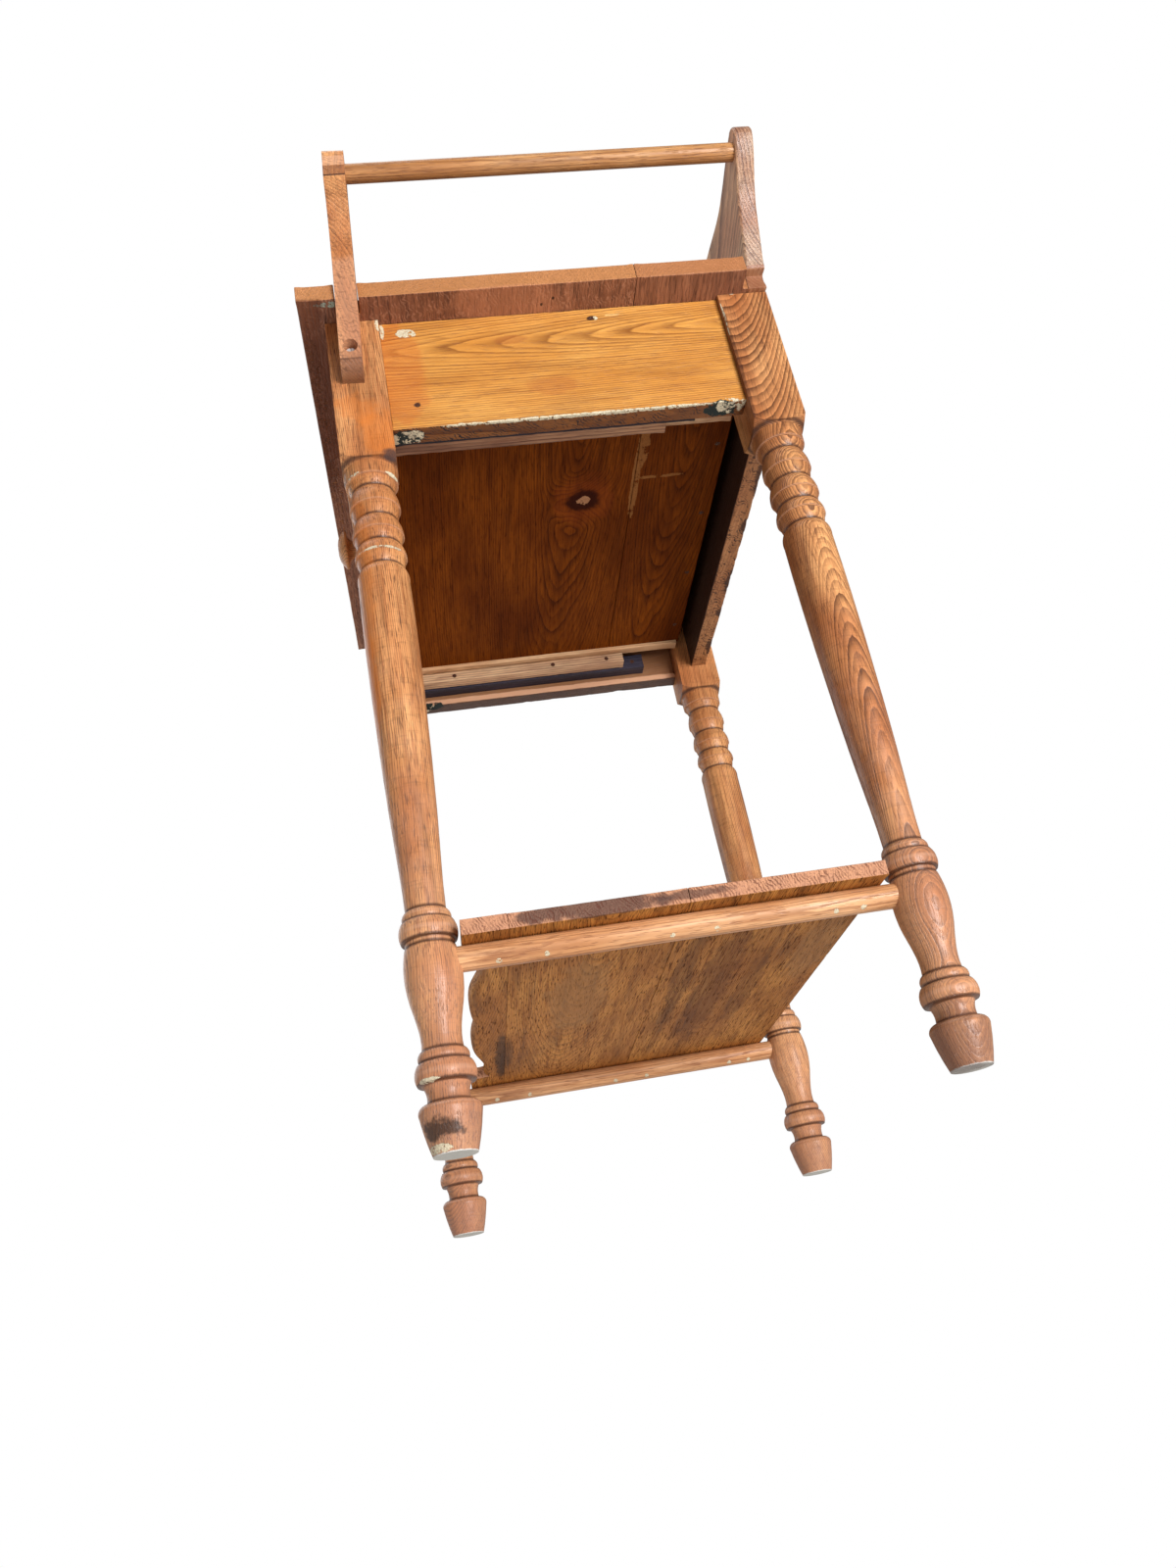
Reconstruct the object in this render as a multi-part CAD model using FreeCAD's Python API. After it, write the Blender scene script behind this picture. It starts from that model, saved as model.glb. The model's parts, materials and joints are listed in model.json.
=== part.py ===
import FreeCAD, Part
import math
import os

# Small washstand: four turned legs, one drawer, a scalloped lower shelf, a splashback with two
# flared ears, and a towel bar on each side between an ear and a bracket let into the front leg.
#
# Millimetres, +Z up. The origin is on the floor under the middle of the stand. -Y is the front, where
# the drawer opens, and +X is the right-hand side of a person who faces the drawer. The stand is
# symmetrical about the plane X = 0, so the left pieces are mirrored right pieces.

os.makedirs("parts", exist_ok=True)
Vector = FreeCAD.Vector

# --- driving dimensions -----------------------------------------------------------------------------
DEPTH = 412.0                      # whole stand, from the top's front edge to the splashback's back
BACK = DEPTH / 2                   # back face of the back legs and of the splashback
TOP_OVERHANG = 21.0                # the top past the front legs
FRONT = -DEPTH / 2 + TOP_OVERHANG  # front face of the front legs
HALF_WIDTH = 242.0                 # middle of the stand to a leg's outer face

LEG = 45.0                         # side of a leg's square block
LEG_TOP = 697.0                    # top of the legs, where the top board lies
BLOCK_BOTTOM = 549.0               # lower end of the square block
CAP_R = 21.8                       # cap ring of the turning, just under the block
SHOULDER_HIGH = 8.0                # height over which the block's corners are rounded off
LEG_X = HALF_WIDTH - LEG / 2       # leg axes
LEG_Y_FRONT = FRONT + LEG / 2
LEG_Y_BACK = BACK - LEG / 2
BLOCK_INSIDE = HALF_WIDTH - LEG    # inner faces of the blocks
BLOCK_REAR = FRONT + LEG           # rear face of a front leg's block
BLOCK_FORE = BACK - LEG            # front face of a back leg's block

TOP_THICK = 17.0
TOP_HALF_WIDTH = 268.0
TOP_JOINT_Y = 85.0                 # glued joint between the two boards of the top
TOP_CORNER_CUT = 5.0               # the back corners of the top are cut back this far

SPLASH_THICK = 17.0
SPLASH_FACE = BACK - SPLASH_THICK
EAR_TOP = 824.0                    # top of the ears
EAR_FOOT = 255.0                   # lower end of the flare that forms an ear
SPLASH_HALF_WIDTH = 247.0          # half width of the board under the flares
LEDGE_Z = 711.0                    # underside of the step between the two
EAR_TIP = 317.0                    # outermost point of an ear or a bracket
CREST = 832.0                      # middle of the splashback's top edge

APRON_BOTTOM = 578.0
APRON_THICK = 18.0
SIDE_APRON_FACE = HALF_WIDTH - 5.0
BACK_APRON_FACE = BACK - 11.5
TENON_THICK = 8.0
TENON_LONG = 18.0
TENON_SHOULDER = 12.0              # the tenons are narrower than their apron by this, above and below
RAIL_DEEP = 30.0
LOW_RAIL_TOP = 600.0
TOP_RAIL_BOTTOM = 683.0
CROSS_TENON_LONG = 14.0            # tenons of the front rails and the back apron
RAIL_SHOULDER = 3.0

BAR_R = 8.0
BAR_X = 301.0
BAR_Z = 805.5
BAR_SOCKET = 11.0                  # how far the bar enters the ear and the bracket
BRACKET_THICK = 18.0
BRACKET_BACK = FRONT + 28.5        # back face of the bracket
BRACKET_FOOT = 627.0               # lower end of the bracket's housing in the leg
BRACKET_TOP = 819.0
BRACKET_LEAN = 2.0                 # degrees by which the bracket leans back
LEAN_PIVOT_Z = 658.0
HOUSING_DEEP = 8.0
NOTCH_DEEP = 18.0                  # notch in the top's end edge, around the bracket
NOTCH_GAP = 0.3                    # room before and behind the bracket in that notch
BRACKET_SCREW_Z = 649.0
BRACKET_SCREW_X = 253.0            # bottom of the counterbore for the bracket's screw
COUNTERBORE_R = 6.0

STRETCHER_R = 9.0
STRETCHER_Z = 127.0
STRETCHER_END = 8.0                # the stretcher stops this far from the leg's axis

SHELF_THICK = 11.0
SHELF_BOTTOM = STRETCHER_Z + STRETCHER_R
SHELF_TOP = SHELF_BOTTOM + SHELF_THICK
SHELF_BACK = 158.5
SHELF_TAB_FRONT = -141.0           # front edge of the tabs beside the legs
SHELF_TAB_X = 181.0                # inner end of the tabs
SHELF_RECESS_Y = -127.5            # deepest part of the scalloped front edge
SHELF_LOBE_Y = -138.5
SHELF_CUSP_Y = -135.0
LIP_ROUND = 7.0                    # rounding under the scalloped edge
SHELF_LIP_JOINT = -109.0           # glued joints between the three boards
SHELF_MID_JOINT = 16.0

GUIDE_OUT = SIDE_APRON_FACE - APRON_THICK
GUIDE_IN = 204.0
GUIDE_BOTTOM = 589.0
GUIDE_TOP = 607.0
GUIDE_END = 123.0
RUNNER_IN = 190.0
RUNNER_BOTTOM = 591.0
RUNNER_END = 98.0
KICKER_IN = 181.0
KICKER_BOTTOM = 680.0

SLIDE_GAP = 0.3                    # clearance under the sliding drawer sides
FRONT_GAP = 1.5                    # clearance around the drawer's front
DRAWER_BOTTOM = 604.0              # lower edges of the drawer's sides
DRAWER_TOP = 676.0
DRAWER_END = 162.5
DRAWER_OUT = 195.0
SIDE_THICK = 12.0
DRAWER_IN = DRAWER_OUT - SIDE_THICK
FRONT_THICK = 18.0
FRONT_REAR = FRONT + FRONT_THICK
REBATE = 6.0                       # depth of the rebates that take the sides
PANEL_THICK = 7.0
PANEL_Z = 608.0
PANEL_GROOVE = 5.0
PANEL_PAST_BACK = 3.0
PANEL_JOINT_Y = 82.0

KNOB_R = 19.0
KNOB_LONG = 19.5
KNOB_Z = 643.0
KNOB_TENON_R = 6.0

NAIL_R = 1.1
NAIL_HEAD_R = 2.4
NAIL_HEAD = 0.8
SCREW_R = 2.2
SCREW_HEAD_R = 4.2
SCREW_HEAD = 2.4
SLOT_WIDE = 1.0


# --- drawing helpers --------------------------------------------------------------------------------
class Outline:
    """A closed outline of lines, arcs and smooth curves, drawn from point to point in one plane."""

    def __init__(self, start, plane="xz"):
        self.plane = plane
        self.start = self.point(start)
        self.here = self.start
        self.edges = []

    def point(self, pair):
        a, b = pair
        return Vector(a, 0, b) if self.plane == "xz" else Vector(a, b, 0)

    def line(self, *ends):
        for end in ends:
            target = self.point(end)
            self.edges.append(Part.makeLine(self.here, target))
            self.here = target
        return self

    def arc(self, middle, end):
        target = self.point(end)
        self.edges.append(Part.Arc(self.here, self.point(middle), target).toShape())
        self.here = target
        return self

    def curve(self, *pairs):
        points = [self.here] + [self.point(pair) for pair in pairs]
        spline = Part.BSplineCurve()
        spline.interpolate(points)
        self.edges.append(spline.toShape())
        self.here = points[-1]
        return self

    def face(self):
        if not self.here.isEqual(self.start, 1e-6):
            self.edges.append(Part.makeLine(self.here, self.start))
        return Part.Face(Part.Wire(self.edges))


def board(x_range, y_range, z_range):
    """A plain board between two X, two Y and two Z values."""
    ranges = (x_range, y_range, z_range)
    sizes = [max(pair) - min(pair) for pair in ranges]
    return Part.makeBox(*sizes, Vector(*[min(pair) for pair in ranges]))


def turned(outline):
    """A solid turned about the Z axis from an outline of (radius, height) points."""
    return outline.face().revolve(Vector(0, 0, 0), Vector(0, 0, 1), 360)


def sawn(outline, y_near, y_far):
    """A board sawn to an outline of (x, z) points, between two Y values."""
    face = outline.face()
    face.translate(Vector(0, y_near, 0))
    return face.extrude(Vector(0, y_far - y_near, 0))


def rod(radius, start, end):
    """A round rod between two points."""
    along = end - start
    return Part.makeCylinder(radius, along.Length, start, along)


def moved(shape, x, y):
    copy = shape.copy()
    copy.translate(Vector(x, y, 0))
    return copy


def mirrored(shape):
    """The same piece on the other side of the plane X = 0."""
    return shape.mirror(Vector(0, 0, 0), Vector(1, 0, 0))


def left(pairs):
    """Outline points mirrored to the other side of X = 0, in the order that goes on from them."""
    return [(-x, other) for x, other in reversed(pairs)]


def housed(piece, *members):
    """A piece with the mortises, grooves and holes that its members fill."""
    result = piece.cut(Part.makeCompound(list(members)))
    return result.Solids[0] if len(result.Solids) == 1 else result


def nail(head_at, tip_at):
    """A round nail, its flat head flush with the surface at head_at."""
    direction = tip_at - head_at
    head = Part.makeCylinder(NAIL_HEAD_R, NAIL_HEAD, head_at, direction)
    return head.fuse(rod(NAIL_R, head_at, tip_at)).removeSplitter()


def screw_body(head_at, tip_at, sunk):
    """A screw with no slot: its head is a cone flush with the surface, or a low cylinder on it."""
    direction = (tip_at - head_at).normalize()
    if sunk:
        head = Part.makeCone(SCREW_HEAD_R, SCREW_R, SCREW_HEAD, head_at, direction)
    else:
        head = Part.makeCylinder(SCREW_HEAD_R, SCREW_HEAD, head_at - direction * SCREW_HEAD, direction)
    return head.fuse(rod(SCREW_R, head_at, tip_at)).removeSplitter()


def slotted(body, head_at, tip_at, sunk):
    """A screw body with its driving slot."""
    direction = (tip_at - head_at).normalize()
    face_at = head_at if sunk else head_at - direction * SCREW_HEAD
    slot = Part.makeBox(2 * SCREW_HEAD_R, SLOT_WIDE, SLOT_WIDE, Vector(-SCREW_HEAD_R, -SLOT_WIDE / 2, 0))
    slot.Placement = FreeCAD.Placement(face_at, FreeCAD.Rotation(Vector(0, 0, 1), direction))
    return body.cut(slot)


# --- legs -------------------------------------------------------------------------------------------
def leg_outline():
    """Radius and height of a turned leg, from the sole of the foot to inside the square block."""
    outline = Outline((0, 0))
    # foot, tapered down to the floor under a rounded shoulder
    outline.line((14.5, 0)).curve((17.8, 12), (20.6, 26)).arc((19.9, 30.4), (16.2, 32.6))
    # thin waist, then the ankle ring with a small bead on it
    outline.line((14.4, 33)).curve((14.0, 38.5), (15.6, 44.5)).line((19.2, 45.5))
    outline.arc((20.5, 51.5), (18.2, 58.5)).line((16.4, 59.5)).arc((17.1, 63.5), (15.0, 67))
    # vase, thin below, with its belly at the height of the side stretchers
    outline.line((14.0, 67.5))
    outline.curve((13.6, 75), (15.3, 88), (18.2, 101), (19.8, 114), (19.5, 126), (17.6, 137.5))
    # collar: a thin neck, a large bead and a small bead
    outline.line((17.0, 138), (17.2, 141.5), (19.2, 142)).arc((20.4, 148), (18.0, 156))
    outline.line((16.6, 156.5)).arc((16.9, 160.5), (14.8, 163.5))
    # long shaft, thin above the collar and full at its rounded upper end
    outline.line((14.2, 164))
    outline.curve((14.3, 176), (15.5, 205), (17.5, 248), (19.1, 302), (20.2, 360), (20.2, 438))
    outline.arc((19.2, 446.4), (16.8, 450))
    # three rings, each with a rounded underside, a sharp edge and a face that draws in above it
    for crease, edge, top in ((450, 461, 472.5), (472.5, 482.5, 497), (497, 509, 526)):
        outline.arc((18.6, (crease + edge) / 2 + 0.6), (19.3, edge - 0.8)).line((20.6, edge))
        outline.curve((20.0, edge + 0.45 * (top - edge)), (16.8, top))
    # cap ring, which runs up into the block
    outline.arc((18.9, 531), (19.6, 534.2)).line((21.4, 535), (CAP_R, BLOCK_BOTTOM))
    outline.line((CAP_R, BLOCK_BOTTOM + SHOULDER_HIGH), (0, BLOCK_BOTTOM + SHOULDER_HIGH))
    return outline


def leg():
    """A leg on the Z axis: the square block with corners rounded off below, and the turned part."""
    foot_of_block = BLOCK_BOTTOM - 2
    corner_r = 0.72 * LEG
    block = board((-LEG / 2, LEG / 2), (-LEG / 2, LEG / 2), (foot_of_block, LEG_TOP))
    shoulder = Part.makeCone(CAP_R, corner_r, SHOULDER_HIGH, Vector(0, 0, foot_of_block))
    full = rod(corner_r, Vector(0, 0, foot_of_block + SHOULDER_HIGH), Vector(0, 0, LEG_TOP))
    return block.common(shoulder.fuse(full)).fuse(turned(leg_outline())).removeSplitter()


# --- frame under the top ----------------------------------------------------------------------------
def side_apron():
    """Right apron, with a tenon into the front leg and one into the back leg."""
    middle = SIDE_APRON_FACE - APRON_THICK / 2
    wall = board((GUIDE_OUT, SIDE_APRON_FACE), (BLOCK_REAR, BLOCK_FORE), (APRON_BOTTOM, LEG_TOP))
    tenon = board((middle - TENON_THICK / 2, middle + TENON_THICK / 2),
                  (BLOCK_REAR - TENON_LONG, BLOCK_FORE + TENON_LONG),
                  (APRON_BOTTOM + TENON_SHOULDER, LEG_TOP - TENON_SHOULDER))
    return wall.fuse(tenon).removeSplitter()


def back_apron():
    """Apron across the back, with a tenon into each back leg."""
    middle = BACK_APRON_FACE - APRON_THICK / 2
    reach = BLOCK_INSIDE + CROSS_TENON_LONG
    wall = board((-BLOCK_INSIDE, BLOCK_INSIDE), (BACK_APRON_FACE - APRON_THICK, BACK_APRON_FACE),
                 (APRON_BOTTOM, LEG_TOP))
    tenon = board((-reach, reach), (middle - TENON_THICK / 2, middle + TENON_THICK / 2),
                  (APRON_BOTTOM + TENON_SHOULDER, LEG_TOP - TENON_SHOULDER))
    return wall.fuse(tenon).removeSplitter()


def front_rail(bottom, top):
    """Rail across the front, over or under the drawer, with a stub tenon into each front leg."""
    reach = BLOCK_INSIDE + CROSS_TENON_LONG
    rail = board((-BLOCK_INSIDE, BLOCK_INSIDE), (FRONT, FRONT + RAIL_DEEP), (bottom, top))
    tenon = board((-reach, reach), (FRONT + 2 * RAIL_SHOULDER, FRONT + RAIL_DEEP - 2 * RAIL_SHOULDER),
                  (bottom + RAIL_SHOULDER, top - RAIL_SHOULDER))
    return rail.fuse(tenon).removeSplitter()


def drawer_guide():
    """Strip on the inside of the right apron that carries the runner."""
    return board((GUIDE_IN, GUIDE_OUT), (BLOCK_REAR, GUIDE_END), (GUIDE_BOTTOM, GUIDE_TOP))


def drawer_runner():
    """Strip on the guide's inner face, on which the drawer's right side slides."""
    return board((RUNNER_IN, GUIDE_IN), (BLOCK_REAR, RUNNER_END), (RUNNER_BOTTOM, DRAWER_BOTTOM - SLIDE_GAP))


def drawer_kicker():
    """Strip under the top that keeps the pulled-out drawer level, notched round the right legs."""
    inner = board((KICKER_IN, BLOCK_INSIDE), (FRONT + RAIL_DEEP, BACK_APRON_FACE - APRON_THICK),
                  (KICKER_BOTTOM, LEG_TOP))
    outer = board((BLOCK_INSIDE, GUIDE_OUT), (BLOCK_REAR, BLOCK_FORE), (KICKER_BOTTOM, LEG_TOP))
    return inner.fuse(outer).removeSplitter()


# --- top, splashback and towel rails ----------------------------------------------------------------
def top_board(y_front, y_back):
    return board((-TOP_HALF_WIDTH, TOP_HALF_WIDTH), (y_front, y_back), (LEG_TOP, LEG_TOP + TOP_THICK))


def bracket_notch():
    """Square notch in the right end of the top, wide enough for the leaning bracket."""
    lean = math.tan(math.radians(BRACKET_LEAN))
    front = BRACKET_BACK - BRACKET_THICK + lean * (LEG_TOP - LEAN_PIVOT_Z) - NOTCH_GAP
    back = BRACKET_BACK + lean * (LEG_TOP + TOP_THICK - LEAN_PIVOT_Z) + NOTCH_GAP
    return board((TOP_HALF_WIDTH - NOTCH_DEEP, TOP_HALF_WIDTH), (front, back), (LEG_TOP, LEG_TOP + TOP_THICK))


def splashback():
    """Board behind the top. Each end flares out into an ear that holds a towel bar."""
    foot = [(SPLASH_HALF_WIDTH, LEG_TOP), (SPLASH_HALF_WIDTH, LEDGE_Z), (EAR_FOOT, LEDGE_Z + 1)]
    flare = [(268, 740), (288, 775), (311, 799), (EAR_TIP, 809)]
    ear_round = (315.5, EAR_TOP - 4.5)
    crest = [(307, EAR_TOP), (278, 819), (228, 812.5), (200, 816.5), (95, 829)]
    outline = Outline((-SPLASH_HALF_WIDTH, LEG_TOP)).line(*foot).curve(*flare)
    outline.arc(ear_round, crest[0]).curve(*crest[1:], (0, CREST), *left(crest))
    outline.arc((-ear_round[0], ear_round[1]), (-EAR_TIP, flare[-1][1]))
    outline.curve(*left(foot[-1:] + flare[:-1])).line(*left(foot[1:2]))
    return sawn(outline, SPLASH_FACE, BACK)


def towel_bracket():
    """Right bracket: let into the leg's outer face and the top's edge, with a head round the bar."""
    in_leg = HALF_WIDTH - HOUSING_DEEP
    in_top = TOP_HALF_WIDTH - NOTCH_DEEP
    outline = Outline((in_leg, BRACKET_FOOT)).line((HALF_WIDTH + 2, BRACKET_FOOT))
    outline.arc((255, 630), (261, 638)).line((276, 722)).curve((287, 752), (304, 775))
    outline.line((316, 780), (EAR_TIP, 785), (EAR_TIP, 811)).arc((315, 817), (309, BRACKET_TOP))
    outline.line((293, BRACKET_TOP)).arc((287, 816), (285.5, 809)).line((285.5, 796))
    outline.curve((280, 778), (262, 742), (in_top, LEG_TOP + TOP_THICK))
    outline.line((in_top, LEG_TOP), (in_leg, LEG_TOP))
    bracket = sawn(outline, BRACKET_BACK - BRACKET_THICK, BRACKET_BACK)
    bracket.rotate(Vector(0, BRACKET_BACK, LEAN_PIVOT_Z), Vector(1, 0, 0), -BRACKET_LEAN)
    under_top = board((in_leg, in_top), (FRONT, BLOCK_REAR), (LEG_TOP, LEG_TOP + TOP_THICK))
    return housed(bracket, under_top)


def towel_bar():
    """Right towel bar, from its socket in the bracket to its socket in the ear."""
    head_back = BRACKET_BACK + math.tan(math.radians(BRACKET_LEAN)) * (BAR_Z - LEAN_PIVOT_Z)
    return rod(BAR_R, Vector(BAR_X, head_back - BAR_SOCKET, BAR_Z),
               Vector(BAR_X, SPLASH_FACE + BAR_SOCKET, BAR_Z))


# --- lower shelf ------------------------------------------------------------------------------------
def stretcher():
    """Right round rod between the front and the back leg, which carries the shelf."""
    return rod(STRETCHER_R, Vector(LEG_X, LEG_Y_FRONT + STRETCHER_END, STRETCHER_Z),
               Vector(LEG_X, LEG_Y_BACK - STRETCHER_END, STRETCHER_Z))


def shelf_lip():
    """Front board of the shelf: two lobes that meet in a cusp, a recess beside each, and end tabs."""
    cusp = (0, SHELF_CUSP_Y)
    scallop = [(20, SHELF_CUSP_Y - 2), (65, SHELF_LOBE_Y), (100, SHELF_LOBE_Y + 2.5),
               (132, SHELF_RECESS_Y - 2.5), (160, SHELF_RECESS_Y), (SHELF_TAB_X - 3, SHELF_RECESS_Y - 0.5)]
    tab = [(SHELF_TAB_X, SHELF_TAB_FRONT), (HALF_WIDTH, SHELF_TAB_FRONT), (HALF_WIDTH, SHELF_LIP_JOINT)]
    outline = Outline((-HALF_WIDTH, SHELF_LIP_JOINT), plane="xy").line(*left(tab[:-1]))
    outline.line(*left(scallop[-1:])).curve(*left(scallop[:-1]), cusp).curve(*scallop).line(*tab)
    face = outline.face()
    face.translate(Vector(0, 0, SHELF_BOTTOM))
    lip = face.extrude(Vector(0, 0, SHELF_THICK))
    under_scallop = [edge for edge in lip.Edges if edge.BoundBox.ZMax < SHELF_BOTTOM + 0.01
                     and edge.BoundBox.YMax < SHELF_RECESS_Y + 1 and edge.BoundBox.YMin > SHELF_TAB_FRONT + 1]
    return lip.makeFillet(LIP_ROUND, under_scallop)


def shelf_board(y_front, y_back):
    return board((-HALF_WIDTH, HALF_WIDTH), (y_front, y_back), (SHELF_BOTTOM, SHELF_TOP))


# --- drawer, closed ---------------------------------------------------------------------------------
def drawer_front():
    """Front of the drawer, rebated at each end for the sides."""
    half = BLOCK_INSIDE - FRONT_GAP
    front = board((-half, half), (FRONT, FRONT_REAR), (LOW_RAIL_TOP + FRONT_GAP, TOP_RAIL_BOTTOM - FRONT_GAP))
    rebate = board((DRAWER_IN, BLOCK_INSIDE), (FRONT_REAR - REBATE, FRONT_REAR),
                   (LOW_RAIL_TOP, TOP_RAIL_BOTTOM))
    return housed(front, rebate, mirrored(rebate))


def drawer_side():
    """Right side, with its lower edges rounded."""
    side = board((DRAWER_IN, DRAWER_OUT), (FRONT_REAR - REBATE, DRAWER_END), (DRAWER_BOTTOM, DRAWER_TOP))
    lower_edges = [edge for edge in side.Edges
                   if edge.Length > 100 and abs(edge.CenterOfMass.z - DRAWER_BOTTOM) < 0.01]
    return side.makeFillet(1.5, lower_edges)


def drawer_back():
    return board((-DRAWER_IN, DRAWER_IN), (DRAWER_END - SIDE_THICK, DRAWER_END),
                 (PANEL_Z + PANEL_THICK, DRAWER_TOP - 4))


def drawer_panel(y_front, y_back):
    """One board of the drawer's bottom, which fills the grooves in the sides."""
    reach = DRAWER_IN + PANEL_GROOVE
    return board((-reach, reach), (y_front, y_back), (PANEL_Z, PANEL_Z + PANEL_THICK))


def drawer_knob():
    """Turned knob, with its tenon through the drawer's front."""
    outline = Outline((0, -FRONT_THICK)).line((KNOB_TENON_R, -FRONT_THICK), (KNOB_TENON_R, 0), (11, 0))
    outline.curve((8.5, 4), (10.5, 7.5), (KNOB_R - 1.2, 10)).arc((KNOB_R, 12), (KNOB_R - 1, 14))
    outline.curve((12, 18), (0, KNOB_LONG))
    knob = turned(outline)
    knob.Placement = FreeCAD.Placement(Vector(0, FRONT, KNOB_Z), FreeCAD.Rotation(Vector(1, 0, 0), 90))
    return knob


# --- fasteners: (head, tip) points of the right-hand ones -------------------------------------------
def level(x_head, x_tip, places):
    """Fasteners along X at each (y, z) place."""
    return [(Vector(x_head, y, z), Vector(x_tip, y, z)) for y, z in places]


RUNNER_MIDDLE = (RUNNER_BOTTOM + DRAWER_BOTTOM) / 2
RUNNER_NAILS = level(RUNNER_IN, GUIDE_OUT + 10, [(y, RUNNER_MIDDLE) for y in (-99, 15, 78)])
GUIDE_NAILS = level(GUIDE_IN, GUIDE_OUT + 10, [(110, (GUIDE_BOTTOM + GUIDE_TOP) / 2)])
APRON_NAILS = level(SIDE_APRON_FACE, GUIDE_OUT - 12, [(44.5, 686), (-117, 603)])
SHELF_NAILS = [(Vector(LEG_X, y, SHELF_TOP), Vector(LEG_X, y, STRETCHER_Z - 4))
               for y in (-124, -85, 2, 34, 140)]
FRONT_NAILS = level(DRAWER_OUT, DRAWER_IN - 14, [(FRONT_REAR - REBATE / 2, z) for z in (622, 645, 668)])
BACK_NAILS = level(DRAWER_OUT, DRAWER_IN - 14, [(DRAWER_END - SIDE_THICK / 2, z) for z in (626, 660)])
PANEL_NAILS = [(Vector(x, DRAWER_END - SIDE_THICK / 2, PANEL_Z),
                Vector(x, DRAWER_END - SIDE_THICK / 2, PANEL_Z + 22)) for x in (50, 150)]
KICKER_SCREWS = [(Vector(GUIDE_IN + 3, y, KICKER_BOTTOM), Vector(GUIDE_IN + 3, y, LEG_TOP + 11))
                 for y in (-90, 110)]
RAIL_SCREWS = [(Vector(110, FRONT + RAIL_DEEP / 2, TOP_RAIL_BOTTOM),
                Vector(110, FRONT + RAIL_DEEP / 2, LEG_TOP + 11))]
SPLASH_SCREW_Z = LEG_TOP + TOP_THICK / 2
SPLASH_SCREWS = [(Vector(x, BACK, SPLASH_SCREW_Z), Vector(x, SPLASH_FACE - 24, SPLASH_SCREW_Z))
                 for x in (70, 200)]
BRACKET_SCREW = (Vector(BRACKET_SCREW_X, BRACKET_BACK - BRACKET_THICK / 2, BRACKET_SCREW_Z),
                 Vector(HALF_WIDTH - 24, BRACKET_BACK - BRACKET_THICK / 2, BRACKET_SCREW_Z))


def both_sides(shapes):
    """The right-hand pieces and their mirror images."""
    return shapes + [mirrored(shape) for shape in shapes]


def nails(*groups):
    return both_sides([nail(head, tip) for group in groups for head, tip in group])


def screws(*groups):
    return both_sides([slotted(screw_body(head, tip, True), head, tip, True)
                       for group in groups for head, tip in group])


def screw_holes(*groups):
    return both_sides([screw_body(head, tip, True) for group in groups for head, tip in group])


# --- assembly ---------------------------------------------------------------------------------------
def add_pair(pieces, name, right_piece, *members):
    """Adds name_right and name_left, each with the housings of its members."""
    pieces[name + "_right"] = housed(right_piece, *members) if members else right_piece
    pieces[name + "_left"] = mirrored(pieces[name + "_right"])


def build_frame(pieces):
    """Legs, aprons, rails, stretchers, and the strips that the drawer slides on."""
    apron, rear = side_apron(), back_apron()
    low_rail, top_rail = front_rail(APRON_BOTTOM, LOW_RAIL_TOP), front_rail(TOP_RAIL_BOTTOM, LEG_TOP)
    rung, bracket = stretcher(), towel_bracket()
    side_nails = nails(APRON_NAILS, RUNNER_NAILS, GUIDE_NAILS)
    top_screws = screw_holes(KICKER_SCREWS, RAIL_SCREWS)
    add_pair(pieces, "leg_front", moved(leg(), LEG_X, LEG_Y_FRONT),
             apron, low_rail, top_rail, rung, bracket, screw_body(*BRACKET_SCREW, False))
    add_pair(pieces, "leg_back", moved(leg(), LEG_X, LEG_Y_BACK), apron, rear, rung)
    add_pair(pieces, "apron", apron, *side_nails)
    pieces["apron_back"] = rear
    pieces["front_rail_lower"] = low_rail
    pieces["front_rail_upper"] = housed(top_rail, *top_screws)
    add_pair(pieces, "stretcher", housed(rung, *nails(SHELF_NAILS)))
    add_pair(pieces, "drawer_guide", drawer_guide(), *side_nails)
    add_pair(pieces, "drawer_runner", drawer_runner(), *side_nails)
    add_pair(pieces, "drawer_kicker", drawer_kicker(), *side_nails, *top_screws)


def build_top(pieces):
    """The two boards of the top, the splashback, the brackets and the towel bars."""
    bracket, bar, notch = towel_bracket(), towel_bar(), bracket_notch()
    top_members = [notch, mirrored(notch)] + screw_holes(KICKER_SCREWS, RAIL_SCREWS, SPLASH_SCREWS)
    counterbore = rod(COUNTERBORE_R, BRACKET_SCREW[0], BRACKET_SCREW[0] + Vector(COUNTERBORE_R * 4, 0, 0))
    pieces["top_front_board"] = housed(top_board(-DEPTH / 2, TOP_JOINT_Y), *top_members)
    corner = board((SPLASH_HALF_WIDTH, TOP_HALF_WIDTH), (SPLASH_FACE - TOP_CORNER_CUT, SPLASH_FACE),
                   (LEG_TOP, LEG_TOP + TOP_THICK))
    back_board = top_board(TOP_JOINT_Y, SPLASH_FACE)
    pieces["top_back_board"] = housed(back_board, corner, mirrored(corner), *top_members)
    pieces["splashback"] = housed(splashback(), bar, mirrored(bar), *screw_holes(SPLASH_SCREWS))
    add_pair(pieces, "towel_bracket", bracket, bar, counterbore, screw_body(*BRACKET_SCREW, False))
    add_pair(pieces, "towel_bar", bar)


def build_shelf(pieces):
    """The three boards of the lower shelf, nailed to the stretchers."""
    shelf_nails = nails(SHELF_NAILS)
    legs = [pieces["leg_front_right"], pieces["leg_front_left"]]
    pieces["shelf_lip"] = housed(shelf_lip(), *legs, *shelf_nails)
    pieces["shelf_front_board"] = housed(shelf_board(SHELF_LIP_JOINT, SHELF_MID_JOINT), *shelf_nails)
    pieces["shelf_back_board"] = housed(shelf_board(SHELF_MID_JOINT, SHELF_BACK), *shelf_nails)


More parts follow.
